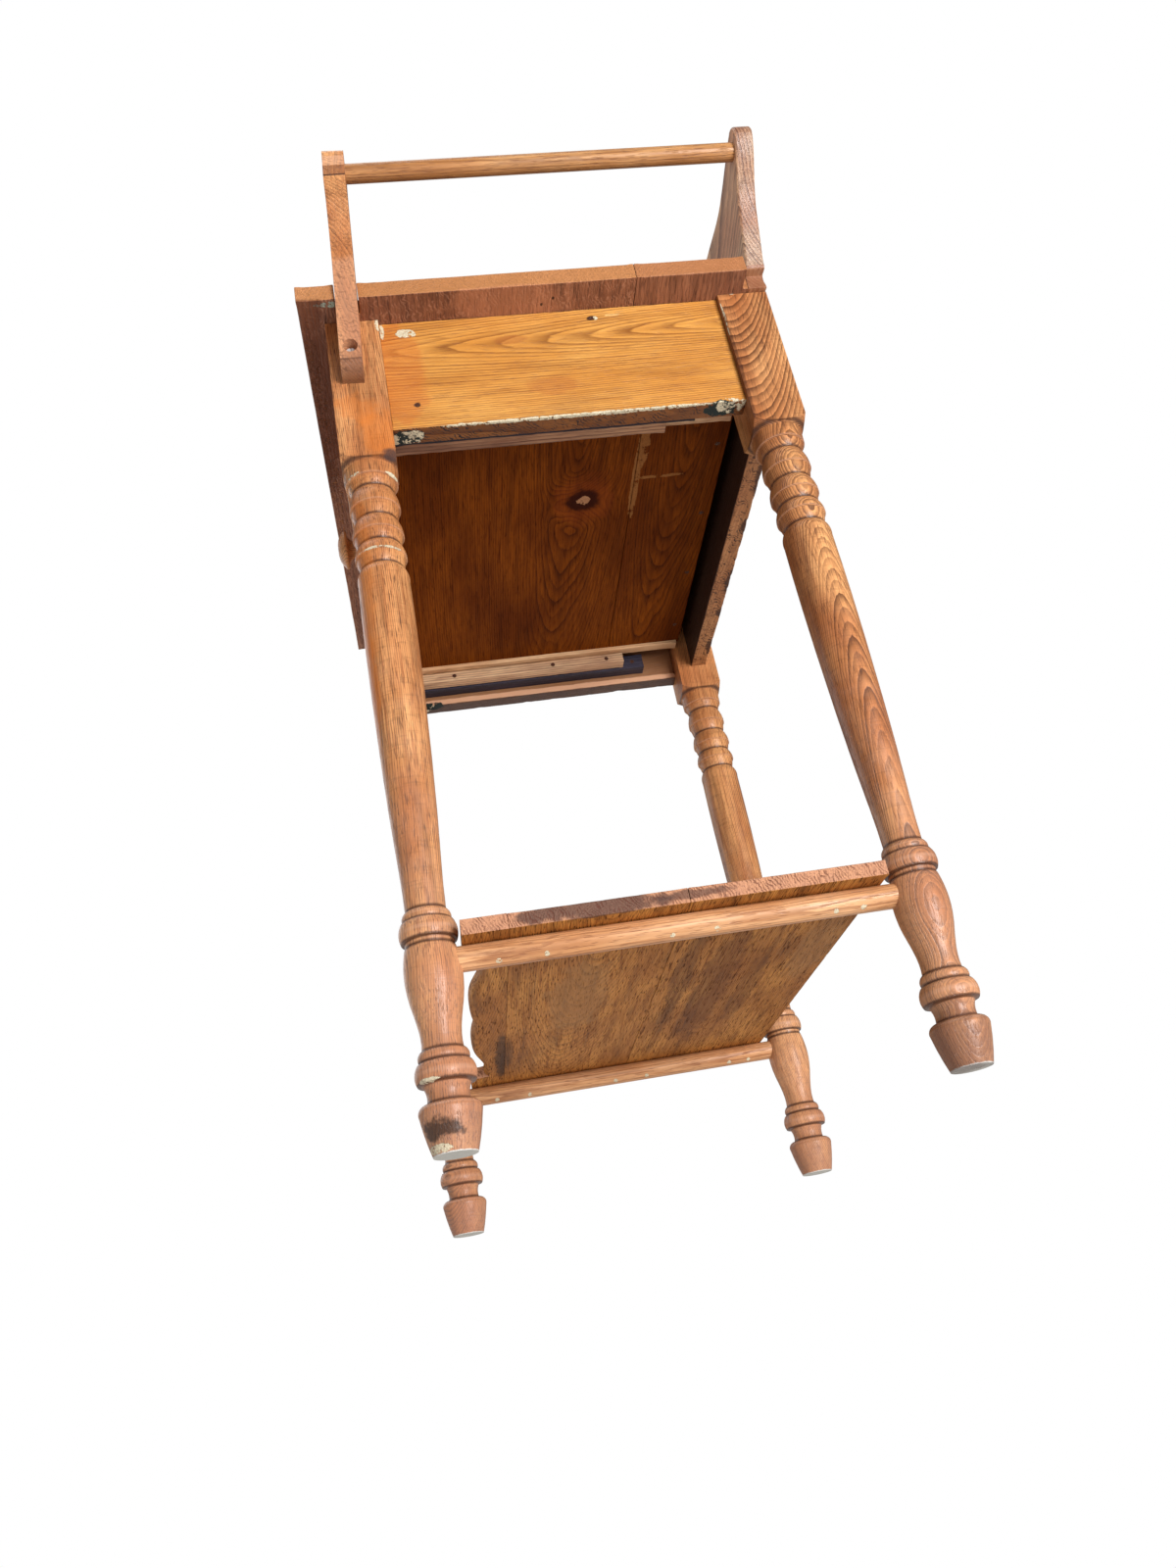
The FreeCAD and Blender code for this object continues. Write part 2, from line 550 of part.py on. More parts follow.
def build_drawer(pieces):
    """The drawer's front, sides, back, two-board bottom and knob."""
    front_panel = drawer_panel(FRONT_REAR - REBATE, PANEL_JOINT_Y)
    back_panel = drawer_panel(PANEL_JOINT_Y, DRAWER_END + PANEL_PAST_BACK)
    box_nails = nails(FRONT_NAILS, BACK_NAILS, PANEL_NAILS)
    knob = drawer_knob()
    pieces["drawer_front"] = housed(drawer_front(), front_panel, knob, *box_nails)
    add_pair(pieces, "drawer_side", drawer_side(), front_panel, back_panel, *box_nails)
    pieces["drawer_back"] = housed(drawer_back(), *box_nails)
    pieces["drawer_bottom_front"] = front_panel
    pieces["drawer_bottom_back"] = housed(back_panel, *box_nails)
    pieces["drawer_knob"] = knob


def build_fasteners(pieces):
    """Each kind of nail and screw, in one group for both sides."""
    bracket_screw = slotted(screw_body(*BRACKET_SCREW, False), *BRACKET_SCREW, False)
    groups = {
        "runner_nails": nails(RUNNER_NAILS, GUIDE_NAILS),
        "apron_nails": nails(APRON_NAILS),
        "shelf_nails": nails(SHELF_NAILS),
        "drawer_nails": nails(FRONT_NAILS, BACK_NAILS, PANEL_NAILS),
        "top_screws": screws(KICKER_SCREWS, RAIL_SCREWS),
        "splashback_screws": screws(SPLASH_SCREWS),
        "bracket_screws": both_sides([bracket_screw]),
    }
    for name, solids in groups.items():
        pieces[name] = Part.makeCompound(solids)


def main():
    pieces = {}
    build_frame(pieces)
    build_top(pieces)
    build_shelf(pieces)
    build_drawer(pieces)
    build_fasteners(pieces)
    for name, shape in pieces.items():
        shape.exportStep("parts/" + name + ".step")


main()
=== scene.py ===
import json
import math

import bmesh
import bpy
from mathutils import Matrix, Vector, noise

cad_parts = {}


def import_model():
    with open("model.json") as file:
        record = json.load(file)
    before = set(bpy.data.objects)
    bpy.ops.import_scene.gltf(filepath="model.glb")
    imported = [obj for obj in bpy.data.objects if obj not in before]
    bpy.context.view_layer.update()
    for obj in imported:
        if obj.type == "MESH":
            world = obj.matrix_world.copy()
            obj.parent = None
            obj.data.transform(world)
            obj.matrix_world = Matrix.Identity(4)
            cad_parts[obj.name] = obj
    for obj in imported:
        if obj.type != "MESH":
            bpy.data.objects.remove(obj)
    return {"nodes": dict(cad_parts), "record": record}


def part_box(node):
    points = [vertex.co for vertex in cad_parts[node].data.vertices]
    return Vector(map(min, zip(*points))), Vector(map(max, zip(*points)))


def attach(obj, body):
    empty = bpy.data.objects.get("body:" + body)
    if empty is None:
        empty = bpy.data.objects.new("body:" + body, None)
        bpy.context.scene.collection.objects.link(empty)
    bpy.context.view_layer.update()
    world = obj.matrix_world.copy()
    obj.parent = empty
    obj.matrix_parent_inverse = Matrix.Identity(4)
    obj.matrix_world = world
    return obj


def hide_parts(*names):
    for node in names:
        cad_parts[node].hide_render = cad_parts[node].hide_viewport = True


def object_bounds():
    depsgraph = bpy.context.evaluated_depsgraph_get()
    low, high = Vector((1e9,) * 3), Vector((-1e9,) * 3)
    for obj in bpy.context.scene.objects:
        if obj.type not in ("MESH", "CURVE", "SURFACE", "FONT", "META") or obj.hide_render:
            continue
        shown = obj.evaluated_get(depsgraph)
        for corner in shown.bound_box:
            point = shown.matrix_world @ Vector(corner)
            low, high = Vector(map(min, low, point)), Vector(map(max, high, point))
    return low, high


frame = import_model()
CAD_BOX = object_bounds()

MM = 0.001
NODES = frame["nodes"]
BODIES = frame["record"]["behaviour"]["bodies"]

# The body of each CAD node, and the middle of the whole stand.
BODY_OF = {node: body for body, members in BODIES.items() for node in members}
MIDDLE = (CAD_BOX[0] + CAD_BOX[1]) / 2

# Axes by number, the front faces of the front legs, and where boards are glued to the next one, as Y.
X, Y, Z = range(3)
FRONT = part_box("leg_front_right")[0].y
TOP_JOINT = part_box("top_front_board")[1].y
SHELF_JOINTS = (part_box("shelf_front_board")[0].y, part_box("shelf_front_board")[1].y)


# --- colours ---
def tint(red, green, blue):
    """A colour from its usual screen values, 0 to 255, as the linear values that shaders take."""
    def linear(value):
        share = value / 255
        return share / 12.92 if share <= 0.04045 else ((share + 0.055) / 1.055) ** 2.4
    return (linear(red), linear(green), linear(blue), 1.0)


CREAM = tint(226, 212, 180)
CHALK = tint(206, 204, 198)
GREEN_BLACK = tint(34, 44, 40)
SOOT = tint(38, 24, 18)
# A dark brown for dirt and tool marks, and for painted shade in creases.
DIRT_AND_SHADE = tint(56, 28, 18)
PURPLE = tint(74, 54, 50)
AMBER = tint(214, 118, 40)
# A pinkish tone painted as sheen: the pale reflection on the lower legs, the ring edges and the brackets.
PINK_SHEEN = tint(226, 178, 150)
ASHEN = tint(138, 104, 92)
FILLER = tint(150, 96, 52)

# Each wood has a pale, a middle and a dark colour.
OAK = (tint(238, 172, 112), tint(184, 112, 64), tint(66, 32, 18))
HONEY = (tint(232, 170, 88), tint(206, 136, 58), tint(118, 62, 24))
ROUGH_TOP = (tint(171, 116, 86), tint(133, 83, 58), tint(64, 36, 30))
# The splashback's colours are lightened to make up for the shade its faces stand in, as painted light.
SPLASH = (tint(244, 204, 160), tint(220, 160, 118), tint(92, 52, 44))
SHELF = (tint(218, 152, 76), tint(178, 114, 54), tint(92, 52, 20))
BAR = (tint(214, 162, 108), tint(184, 126, 74), tint(104, 58, 32))
ROD = (tint(234, 182, 134), tint(204, 144, 94), tint(132, 78, 48))
PANEL = (tint(136, 68, 12), tint(100, 44, 6), tint(48, 14, 4))
RUNNER = (tint(244, 206, 160), tint(196, 150, 114), tint(98, 66, 54))
GUIDE = (tint(63, 58, 75), tint(43, 37, 50), tint(17, 13, 23))
INNER = (tint(246, 208, 162), tint(228, 178, 130), tint(150, 98, 66))


# --- node materials ---
class Paint:
    """The nodes of a material or a world. Most calls add a node and return the socket that it gives."""

    def __init__(self, owner):
        self.owner = owner
        owner.use_nodes = True
        self.nodes = owner.node_tree.nodes
        self.links = owner.node_tree.links
        self.nodes.clear()

    def add(self, kind, **values):
        """Adds a node and fills in its inputs by name, with _ for a space."""
        node = self.nodes.new(kind)
        for key, value in values.items():
            self.feed(node.inputs[key.replace("_", " ")], value)
        return node

    def either(self, share, first, second, output):
        """Blends two shaders by a share, and makes that the surface."""
        blend = self.nodes.new("ShaderNodeMixShader")
        end = self.nodes.new(output)
        self.fill(blend, (share, first.outputs[0], second.outputs[0]))
        self.feed(end.inputs["Surface"], blend.outputs[0])

    def feed(self, socket, value):
        """Links another socket to this one, or sets this one's value."""
        if isinstance(value, bpy.types.NodeSocket):
            self.links.new(value, socket)
        else:
            socket.default_value = value

    def fill(self, node, values):
        """Feeds a node's inputs in order."""
        for socket, value in zip(node.inputs, values):
            self.feed(socket, value)

    def math(self, operation, *values, clamp=False):
        node = self.nodes.new("ShaderNodeMath")
        node.operation = operation
        node.use_clamp = clamp
        self.fill(node, values)
        return node.outputs[0]

    def vector(self, operation, *values):
        node = self.nodes.new("ShaderNodeVectorMath")
        node.operation = operation
        self.fill(node, values)
        return node.outputs["Value" if operation in ("LENGTH", "DOT_PRODUCT") else "Vector"]

    def place(self):
        """The point being shaded, in metres, fixed to the piece."""
        return self.nodes.new("ShaderNodeTexCoord").outputs["Object"]

    def normal(self):
        return self.nodes.new("ShaderNodeNewGeometry").outputs["Normal"]

    def split(self, vector):
        return self.add("ShaderNodeSeparateXYZ", Vector=vector).outputs

    def join(self, x, y, z):
        return self.add("ShaderNodeCombineXYZ", X=x, Y=y, Z=z).outputs[0]

    def noise(self, where, scale, detail=2.0, roughness=0.5):
        node = self.add("ShaderNodeTexNoise", Vector=where, Scale=scale, Detail=detail, Roughness=roughness)
        return node.outputs["Fac"]

    def swing(self, where, scale, detail=2.0, roughness=0.5):
        """A noise about 0 instead of about a half."""
        return self.math("SUBTRACT", self.noise(where, scale, detail, roughness), 0.5)

    def shifted(self, place, seed, by=(1.0, 1.0, 1.0)):
        """The place, moved so that each seed reads another part of a noise."""
        return self.vector("ADD", place, tuple(seed * part for part in by))

    def random(self, value):
        node = self.nodes.new("ShaderNodeTexWhiteNoise")
        node.noise_dimensions = "1D"
        self.feed(node.inputs["W"], value)
        return node.outputs["Value"]

    def ramp(self, value, low, high, start=0.0, end=1.0):
        """A smooth step: start below low, end above high."""
        node = self.nodes.new("ShaderNodeMapRange")
        node.interpolation_type = "SMOOTHSTEP"
        self.fill(node, (value, low, high, start, end))
        return node.outputs[0]

    def mix(self, share, first, second, blend="MIX"):
        node = self.nodes.new("ShaderNodeMix")
        node.data_type = "RGBA"
        node.blend_type = blend
        for index, value in ((0, share), (6, first), (7, second)):
            self.feed(node.inputs[index], value)
        return node.outputs[2]

    def finish(self, colour, roughness, height, depth, **settings):
        """The surface: colour and roughness, with height as bump of that depth in metres."""
        bump = self.add("ShaderNodeBump", Distance=depth, Height=height)
        shader = self.add("ShaderNodeBsdfPrincipled", Base_Color=colour, Roughness=roughness,
                          Normal=bump.outputs[0], **settings)
        self.add("ShaderNodeOutputMaterial", Surface=shader.outputs[0])
        return self.owner


# --- wood ---
AXES = {"x": (Y, Z, X), "y": (X, Z, Y), "z": (X, Y, Z)}  # two cross axes, then the grain's own axis

# How fine the marks of the wood are across the grain, in noise cells to the metre, and how far each kind
# is drawn out along the grain: at 0.05 a mark is twenty times as long as it is wide.
CLOUD_SCALE, CLOUD_DRAW = 22.0, 0.4
BROAD_SCALE, BROAD_DRAW = 110.0, 0.09
FIBRE_SCALE, FIBRE_DRAW = 420.0, 0.05
PORE_SCALE, PORE_DRAW = 1150.0, 0.07
RIPPLE_SCALE, RIPPLE_DRAW = 170.0, 0.22
SWAY_SCALES = (14.0, 19.0)


def stretched(paint, place, grain, along, seed):
    """The place, squeezed along the grain so that a noise read there is drawn out into streaks."""
    squeeze = [1.0, 1.0, 1.0]
    squeeze[AXES[grain][2]] = along
    return paint.shifted(paint.vector("MULTIPLY", place, tuple(squeeze)), seed, (0.37, 0.61, 0.23))


def growth_rings(paint, place, look):
    """How dark the ring lines are here, from 0 to 1. The rings lie round a bent line, the pith."""
    first, second, along = AXES[look["grain"]]
    parts = paint.split(place)
    sway_at = stretched(paint, place, look["grain"], RIPPLE_DRAW, look["seed"])
    run = paint.math("SUBTRACT", parts[along], look["bend_at"])
    run_squared = paint.math("MULTIPLY", run, run)
    offsets = []
    for side, axis in enumerate((first, second)):
        pith = paint.math("MULTIPLY_ADD", run, look["lean"][side], look["pith"][side])
        pith = paint.math("MULTIPLY_ADD", run_squared, look["bow"][side], pith)
        sway = paint.swing(sway_at, SWAY_SCALES[side])
        offset = paint.math("SUBTRACT", parts[axis], pith)
        offsets.append(paint.math("MULTIPLY_ADD", sway, 2 * look["sway"], offset))
    radius = paint.vector("LENGTH", paint.join(offsets[0], offsets[1], 0.0))
    for centre, reach, push in look["knots"]:
        gap = paint.vector("LENGTH", paint.vector("SUBTRACT", place, tuple(centre)))
        pull = paint.ramp(paint.math("DIVIDE", gap, reach), 0.0, 1.6, push, 0.0)
        radius = paint.math("ADD", radius, pull)
    ripple = paint.swing(sway_at, RIPPLE_SCALE)
    phase = paint.math("DIVIDE", radius, look["ring"])
    phase = paint.math("MULTIPLY_ADD", ripple, look["ripple"], phase)
    growth = paint.math("FRACT", phase)
    vigour = paint.ramp(paint.random(paint.math("FLOOR", phase)), 0.0, 1.0, 0.5, 1.0)
    fade = paint.math("POWER", paint.math("SUBTRACT", 1.0, growth), look["fade"])
    line = paint.math("MULTIPLY", fade, paint.ramp(growth, 0.0, 0.12))
    return paint.math("MULTIPLY", line, vigour)


def wood(name, palette, grain, pith, ring, lean=(0, 0), bow=(0, 0), bend_at=0.0, sway=0.002, ripple=0.5,
         fade=1.8, lines=0.8, streaks=0.5, pores=0.5, clouds=0.5, gloss=0.36, depth=0.25,
         sheen=0.3, knots=(), seed=0, coats=()):
    """A solid wood: growth rings round a pith line, streaks and pores along the grain, then its coats.

    pith is where the rings' middle line passes, across the grain. lean, bow and bend_at tilt and bend that
    line, sway and ripple make the rings uneven, and fade says how fast a ring pales. lines, streaks, pores
    and clouds are strengths, and depth is the relief in millimetres. gloss is the roughness of the finish.
    """
    look = {"grain": grain, "pith": pith, "ring": ring, "lean": lean, "bow": bow, "bend_at": bend_at,
            "sway": sway, "ripple": ripple, "fade": fade, "knots": knots, "seed": seed}
    pale, middle, dark = palette
    paint = Paint(bpy.data.materials.new(name + "_wood"))
    place = paint.place()
    line = growth_rings(paint, place, look)
    cloud = paint.noise(stretched(paint, place, grain, CLOUD_DRAW, seed), CLOUD_SCALE, 3.0)
    fibre = paint.noise(stretched(paint, place, grain, FIBRE_DRAW, seed), FIBRE_SCALE, 3.0, 0.6)
    broad = paint.noise(stretched(paint, place, grain, BROAD_DRAW, seed + 3), BROAD_SCALE)
    pore = paint.noise(stretched(paint, place, grain, PORE_DRAW, seed + 7), PORE_SCALE, 1.0)
    speck = paint.ramp(pore, 0.57, 0.69)

    colour = paint.mix(paint.ramp(cloud, 0.5 - clouds * 0.4, 0.5 + clouds * 0.4), pale, middle)
    colour = paint.mix(paint.ramp(broad, 0.45, 0.75, 0.0, 0.55 * streaks), colour, dark)
    colour = paint.mix(paint.ramp(fibre, 0.40, 0.75, 0.0, streaks), colour, middle)
    colour = paint.mix(paint.ramp(fibre, 0.52, 0.80, 0.0, 0.5 * streaks), colour, dark)
    colour = paint.mix(paint.math("MULTIPLY", line, lines), colour, dark)
    pore_share = paint.math("MULTIPLY_ADD", line, 0.5, 0.5)
    pore_share = paint.math("MULTIPLY", paint.math("MULTIPLY", pore_share, speck), pores, clamp=True)
    colour = paint.mix(pore_share, colour, dark)

    rough = paint.math("MULTIPLY_ADD", fibre, 0.22, gloss - 0.10)
    rough = paint.math("MULTIPLY_ADD", pore_share, 0.25, rough)
    height = paint.math("MULTIPLY_ADD", speck, -0.6, fibre)
    height = paint.math("MULTIPLY_ADD", line, -0.5, height)
    for coat in coats:
        colour, rough, height = coat(paint, place, colour, rough, height)
    return paint.finish(colour, rough, height, depth * MM, Specular_IOR_Level=sheen)


# --- coats: marks that lie on the wood, and painted light and shade ---
def blot(paint, place, centre, reach, ragged, seed):
    """1 in an uneven patch round centre, 0 outside. reach is its half size along X, Y and Z, in mm."""
    half = tuple(part * MM for part in reach)
    away = paint.vector("DIVIDE", paint.vector("SUBTRACT", place, tuple(centre)), half)
    length = paint.vector("LENGTH", away)
    at = paint.shifted(place, seed, (0.7, 0.3, 0.9))
    swing = paint.swing(at, 1.1 / min(max(half), 20 * MM), 4.0, 0.62)
    edge = paint.math("MULTIPLY_ADD", swing, 2 * ragged, length)
    return paint.ramp(edge, 0.6, 1.0, 1.0, 0.0)


def stain(centre, reach, tone, strength, ragged=0.5, seed=1):
    """A soft patch that darkens, bleaches or colours the wood under it."""
    def coat(paint, place, colour, rough, height):
        share = paint.math("MULTIPLY", blot(paint, place, centre, reach, ragged, seed), strength)
        return paint.mix(share, colour, tone), rough, height
    return coat


def flakes(centre, reach, tone=CREAM, cover=0.5, size=2.4, seed=1):
    """Old paint left in scraps, each about size millimetres across, raised a little over the wood."""
    def coat(paint, place, colour, rough, height):
        area = blot(paint, place, centre, reach, 0.5, seed)
        at = paint.shifted(place, seed, (1.0, 0.4, 0.2))
        scrap = paint.noise(at, 0.5 / (size * MM), 5.0, 0.7)
        weighed = paint.math("MULTIPLY_ADD", paint.math("SUBTRACT", area, 1.0), 0.5, scrap)
        edge = 0.62 - 0.24 * cover
        share = paint.ramp(weighed, edge, edge + 0.03)
        mottle = paint.ramp(paint.noise(at, 900.0), 0.3, 0.7)
        shade = paint.mix(mottle, tone, tuple(0.72 * part for part in tone[:3]) + (1.0,))
        return (paint.mix(share, colour, shade), paint.math("MULTIPLY_ADD", share, 0.25, rough),
                paint.math("MULTIPLY_ADD", share, 1.2, height))
    return coat


def side_tone(direction, tone, strength, blend="MIX"):
    """Colours the faces that look in one direction. MULTIPLY darkens them and keeps their grain."""
    def coat(paint, place, colour, rough, height):
        facing = paint.vector("DOT_PRODUCT", paint.normal(), direction)
        share = paint.ramp(facing, 0.5, 0.75, 0.0, strength)
        return paint.mix(share, colour, tone, blend), rough, height
    return coat


def saw_marks(facing, across, spacing, tone, strength, seed):
    """Uneven strokes, spacing millimetres apart, on the faces that look in one direction."""
    def coat(paint, place, colour, rough, height):
        share = paint.ramp(paint.vector("DOT_PRODUCT", paint.normal(), facing), 0.55, 0.85)
        at = paint.shifted(place, seed, (1.0, 0.5, 0.7))
        run = paint.vector("DOT_PRODUCT", place, tuple(part / (spacing * MM) for part in across))
        bend = paint.math("MULTIPLY_ADD", paint.noise(at, 90.0, 3.0), 5.0, run)
        stroke = paint.ramp(paint.math("PINGPONG", bend, 0.5), 0.20, 0.42)
        share = paint.math("MULTIPLY", share, paint.math("MULTIPLY", stroke, strength))
        share = paint.math("MULTIPLY", share, paint.ramp(paint.noise(at, 160.0, 4.0), 0.35, 0.65))
        return paint.mix(share, colour, tone), rough, paint.math("MULTIPLY_ADD", share, -0.8, height)
    return coat


def tone_below(full, none, tone, strength, seed):
    """A tone that thins out from one height, in millimetres, to another: paler dust on the feet, a pinkish
    painted sheen on the legs and brackets, and a darker brown at the brackets' feet.
    """
    def coat(paint, place, colour, rough, height):
        swing = paint.swing(paint.shifted(place, seed), 60.0, 4.0)
        level = paint.math("MULTIPLY_ADD", swing, abs(none - full) * MM, paint.split(place)[Z])
        share = paint.ramp(level, full * MM, none * MM, strength, 0.0)
        return paint.mix(share, colour, tone), rough, height
    return coat


def level_lines(turns, tone, half, strength):
    """Soft lines round a turned leg at the given heights: painted shade in creases, or rubbed edges with a
    painted sheen.
    """
    def coat(paint, place, colour, rough, height):
        level = paint.split(place)[Z]
        for z, reach in turns:
            gap = paint.math("ABSOLUTE", paint.math("SUBTRACT", level, z * MM))
            share = paint.ramp(gap, 0.1 * half * reach * MM, half * reach * MM, strength, 0.0)
            colour = paint.mix(share, colour, tone)
        return colour, rough, height
    return coat


BAND_BLUR = 0.6  # half the width of a band's soft edge, in millimetres


def band(low, high, tone, strength):
    """A stretch between two heights, in millimetres, painted another colour: on the brackets and the
    splashback mostly painted light and shade.
    """
    def coat(paint, place, colour, rough, height):
        level = paint.split(place)[Z]
        over = paint.ramp(level, (low - BAND_BLUR) * MM, (low + BAND_BLUR) * MM)
        under = paint.ramp(level, (high - BAND_BLUR) * MM, (high + BAND_BLUR) * MM, strength, 0.0)
        return paint.mix(paint.math("MULTIPLY", over, under), colour, tone), rough, height
    return coat


def turning_marks(strength, seed):
    """Fine level rings, left by the turner's gouge."""
    def coat(paint, place, colour, rough, height):
        flat = paint.vector("MULTIPLY", place, (0.10, 0.10, 1.0))
        mark = paint.noise(paint.shifted(flat, seed), 620.0)
        share = paint.ramp(mark, 0.50, 0.74, 0.0, strength)
        return paint.mix(share, colour, DIRT_AND_SHADE), rough, paint.math("MULTIPLY_ADD", share, -0.5, height)
    return coat


def bare_sole():
    """The worn end grain that stands on the floor."""
    def coat(paint, place, colour, rough, height):
        level = paint.split(place)[Z]
        uneven = paint.math("MULTIPLY_ADD", paint.noise(place, 300.0, 3.0), 1.2 * MM, level)
        share = paint.ramp(uneven, 0.9 * MM, 1.6 * MM, 1.0, 0.0)
        return paint.mix(share, colour, CHALK), paint.math("MULTIPLY_ADD", share, 0.3, rough), height
    return coat


# --- worn boards ---
STEP = 2.5 * MM  # spacing of a board's points along its edges
ARRIS_TURNS = 3  # facets over a quarter of a rounded edge
LEVELS = (0.25, 0.5, 0.75)  # where an edge face has points between its two arrises
INSIDE = 0.1 * MM  # how far a board's faces lie inside the CAD board's
CORNER = 1.0 * MM  # rounding of the corners of a board's outline
CRISP = 2.5 * MM  # length of the crisp edge beside a corner
CRISP_ARRIS = 0.3 * MM  # rounding of that crisp edge
MOST_ARRIS = 0.42  # the largest rounding, as a share of the board's thickness
SHARP_TURN = 0.35  # the smallest turn of an outline that counts as a corner, in radians
SHARP_EDGE = 0.7  # the smallest angle between faces that is shaded sharp, in radians
CHIP_SCALE = 55.0  # noise cells to the metre in the chips
WANDER_SCALE = 25.0  # in the line of the edges
WAVE_SCALE = 70.0  # in the waves of the edge faces


def pairs(loop):
    """Each item of a closed loop and the one after it."""
    return zip(loop, loop[1:] + loop[:1])


def triples(loop):
    """Each item of a closed loop between its two neighbours."""
    return zip(loop[-1:] + loop[:-1], loop, loop[1:] + loop[:1])


def outline_of(node, axis, side):
    """The outer edge of the flat face of a CAD node that looks along one axis, as points in order."""
    mesh = NODES[node].data
    level = max(side * corner.co[axis] for corner in mesh.vertices)
    edges = []
    for face in mesh.polygons:
        corners = [mesh.vertices[index].co for index in face.vertices]
        if all(abs(side * corner[axis] - level) < 0.01 * MM for corner in corners):
            keys = [tuple(round(part, 6) for part in corner) for corner in corners]
            edges += pairs(keys)
    shared = set(edges)
    following = {start: end for start, end in edges if (end, start) not in shared}
    loops = []
    while following:
        loop = [min(following)]
        while loop[-1] in following:
            loop.append(following.pop(loop[-1]))
        loops.append([Vector(point) for point in loop[:-1]])
    return max(loops, key=lambda loop: sum((end - start).length for start, end in zip(loop, loop[1:])))


def rectangle(node, axis):
    """The outline of a CAD node's box, seen along one axis."""
    low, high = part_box(node)
    first, second = [other for other in range(3) if other != axis]
    points = []
    for a, b in ((low, low), (high, low), (high, high), (low, high)):
        point = low.copy()
        point[first], point[second] = a[first], b[second]
        points.append(point)
    return points


def traced(loop):
    """A loop with its sharp corners rounded off and its sides cut into short steps."""
    rounded = []
    for before, here, after in triples(loop):
        back, on = before - here, after - here
        if back.angle(-on) < SHARP_TURN:
            rounded.append(here)
            continue
        cut = min(CORNER, 0.4 * back.length, 0.4 * on.length)
        first, last = here + back.normalized() * cut, here + on.normalized() * cut
        rounded += [first, (first + last + 2 * here) / 4, last]
    points = []
    for here, after in pairs(rounded):
        count = max(1, round((after - here).length / STEP))
        points += [here.lerp(after, index / count) for index in range(count)]
    return points


def inward_at(points, axis):
    """For each point of a loop, the direction into the board, at right angles to the edge."""
    along = Vector([float(index == axis) for index in range(3)])
    area = sum(here.cross(after).dot(along) for here, after in pairs(points))
    turned = along if area > 0 else -along
    return [turned.cross(after - before).normalized() for before, here, after in triples(points)]


def outer_corners(loop, axis):
    """The corners of a loop that point outward."""
    return [here for (before, here, after), into in zip(triples(loop), inward_at(loop, axis))
            if (before - here).angle(here - after) > SHARP_TURN
            and into.dot(before + after - 2 * here) > 0]


def room_at(point, corners):
    """0 at a corner, where a board's edges stay crisp, to 1 away from all corners."""
    nearest = min((point - corner).length for corner in corners)
    return min(1.0, max(0.0, (nearest - CRISP) / (2 * CRISP)))


def arrises_at(point, room, offset, thick, arris, chips, wear):
    """The radii of the lower and the upper arris at one point of a board's outline."""
    radii = []
    for upper in (False, True):
        at = point * CHIP_SCALE + offset + Vector((0, 0, 9.0 * upper))
        bite = max(0.0, noise.noise(at) + 0.6 * noise.noise(at * 3.3) - 0.05)
        factor = wear(point, upper) if wear else 1.0
        radius = min((arris + chips * bite) * factor * MM, MOST_ARRIS * thick)
        radii.append(CRISP_ARRIS + room * max(0.0, radius - CRISP_ARRIS))
    return radii


def edge_levels():
    """The levels of points up a board's edge, as three values each.

    The first says which arris it is on, the upper one or not, or None between the two. On an arris the
    others are how far it lies in and how far from the face, as shares of the radius. Between the two
    arrises the second is its share of the height.
    """
    levels = []
    for upper in (False, True):
        for turn in range(ARRIS_TURNS + 1):
            angle = 0.5 * math.pi * (ARRIS_TURNS - turn if upper else turn) / ARRIS_TURNS
            levels.append((upper, 1 - math.sin(angle), 1 - math.cos(angle)))
    levels[ARRIS_TURNS + 1:ARRIS_TURNS + 1] = [(None, share, 0) for share in LEVELS]
    return levels


def board_mesh(name, corners, count):
    """A closed mesh through rings of count points each, one above the other, and a cap at each end."""
    faces = []
    last = len(corners) - count
    for ring in range(0, last, count):
        for index in range(count):
            after = (index + 1) % count
            faces.append((ring + index, ring + after, ring + count + after, ring + count + index))
    faces.append(tuple(reversed(range(count))))
    faces.append(tuple(range(last, last + count)))
    mesh = bpy.data.meshes.new(name)
    mesh.from_pydata(corners, [], faces)
    turned = bmesh.new()
    turned.from_mesh(mesh)
    bmesh.ops.recalc_face_normals(turned, faces=turned.faces)
    turned.to_mesh(mesh)
    turned.free()
    mesh.shade_smooth()
    mesh.set_sharp_from_angle(angle=SHARP_EDGE)
    return mesh


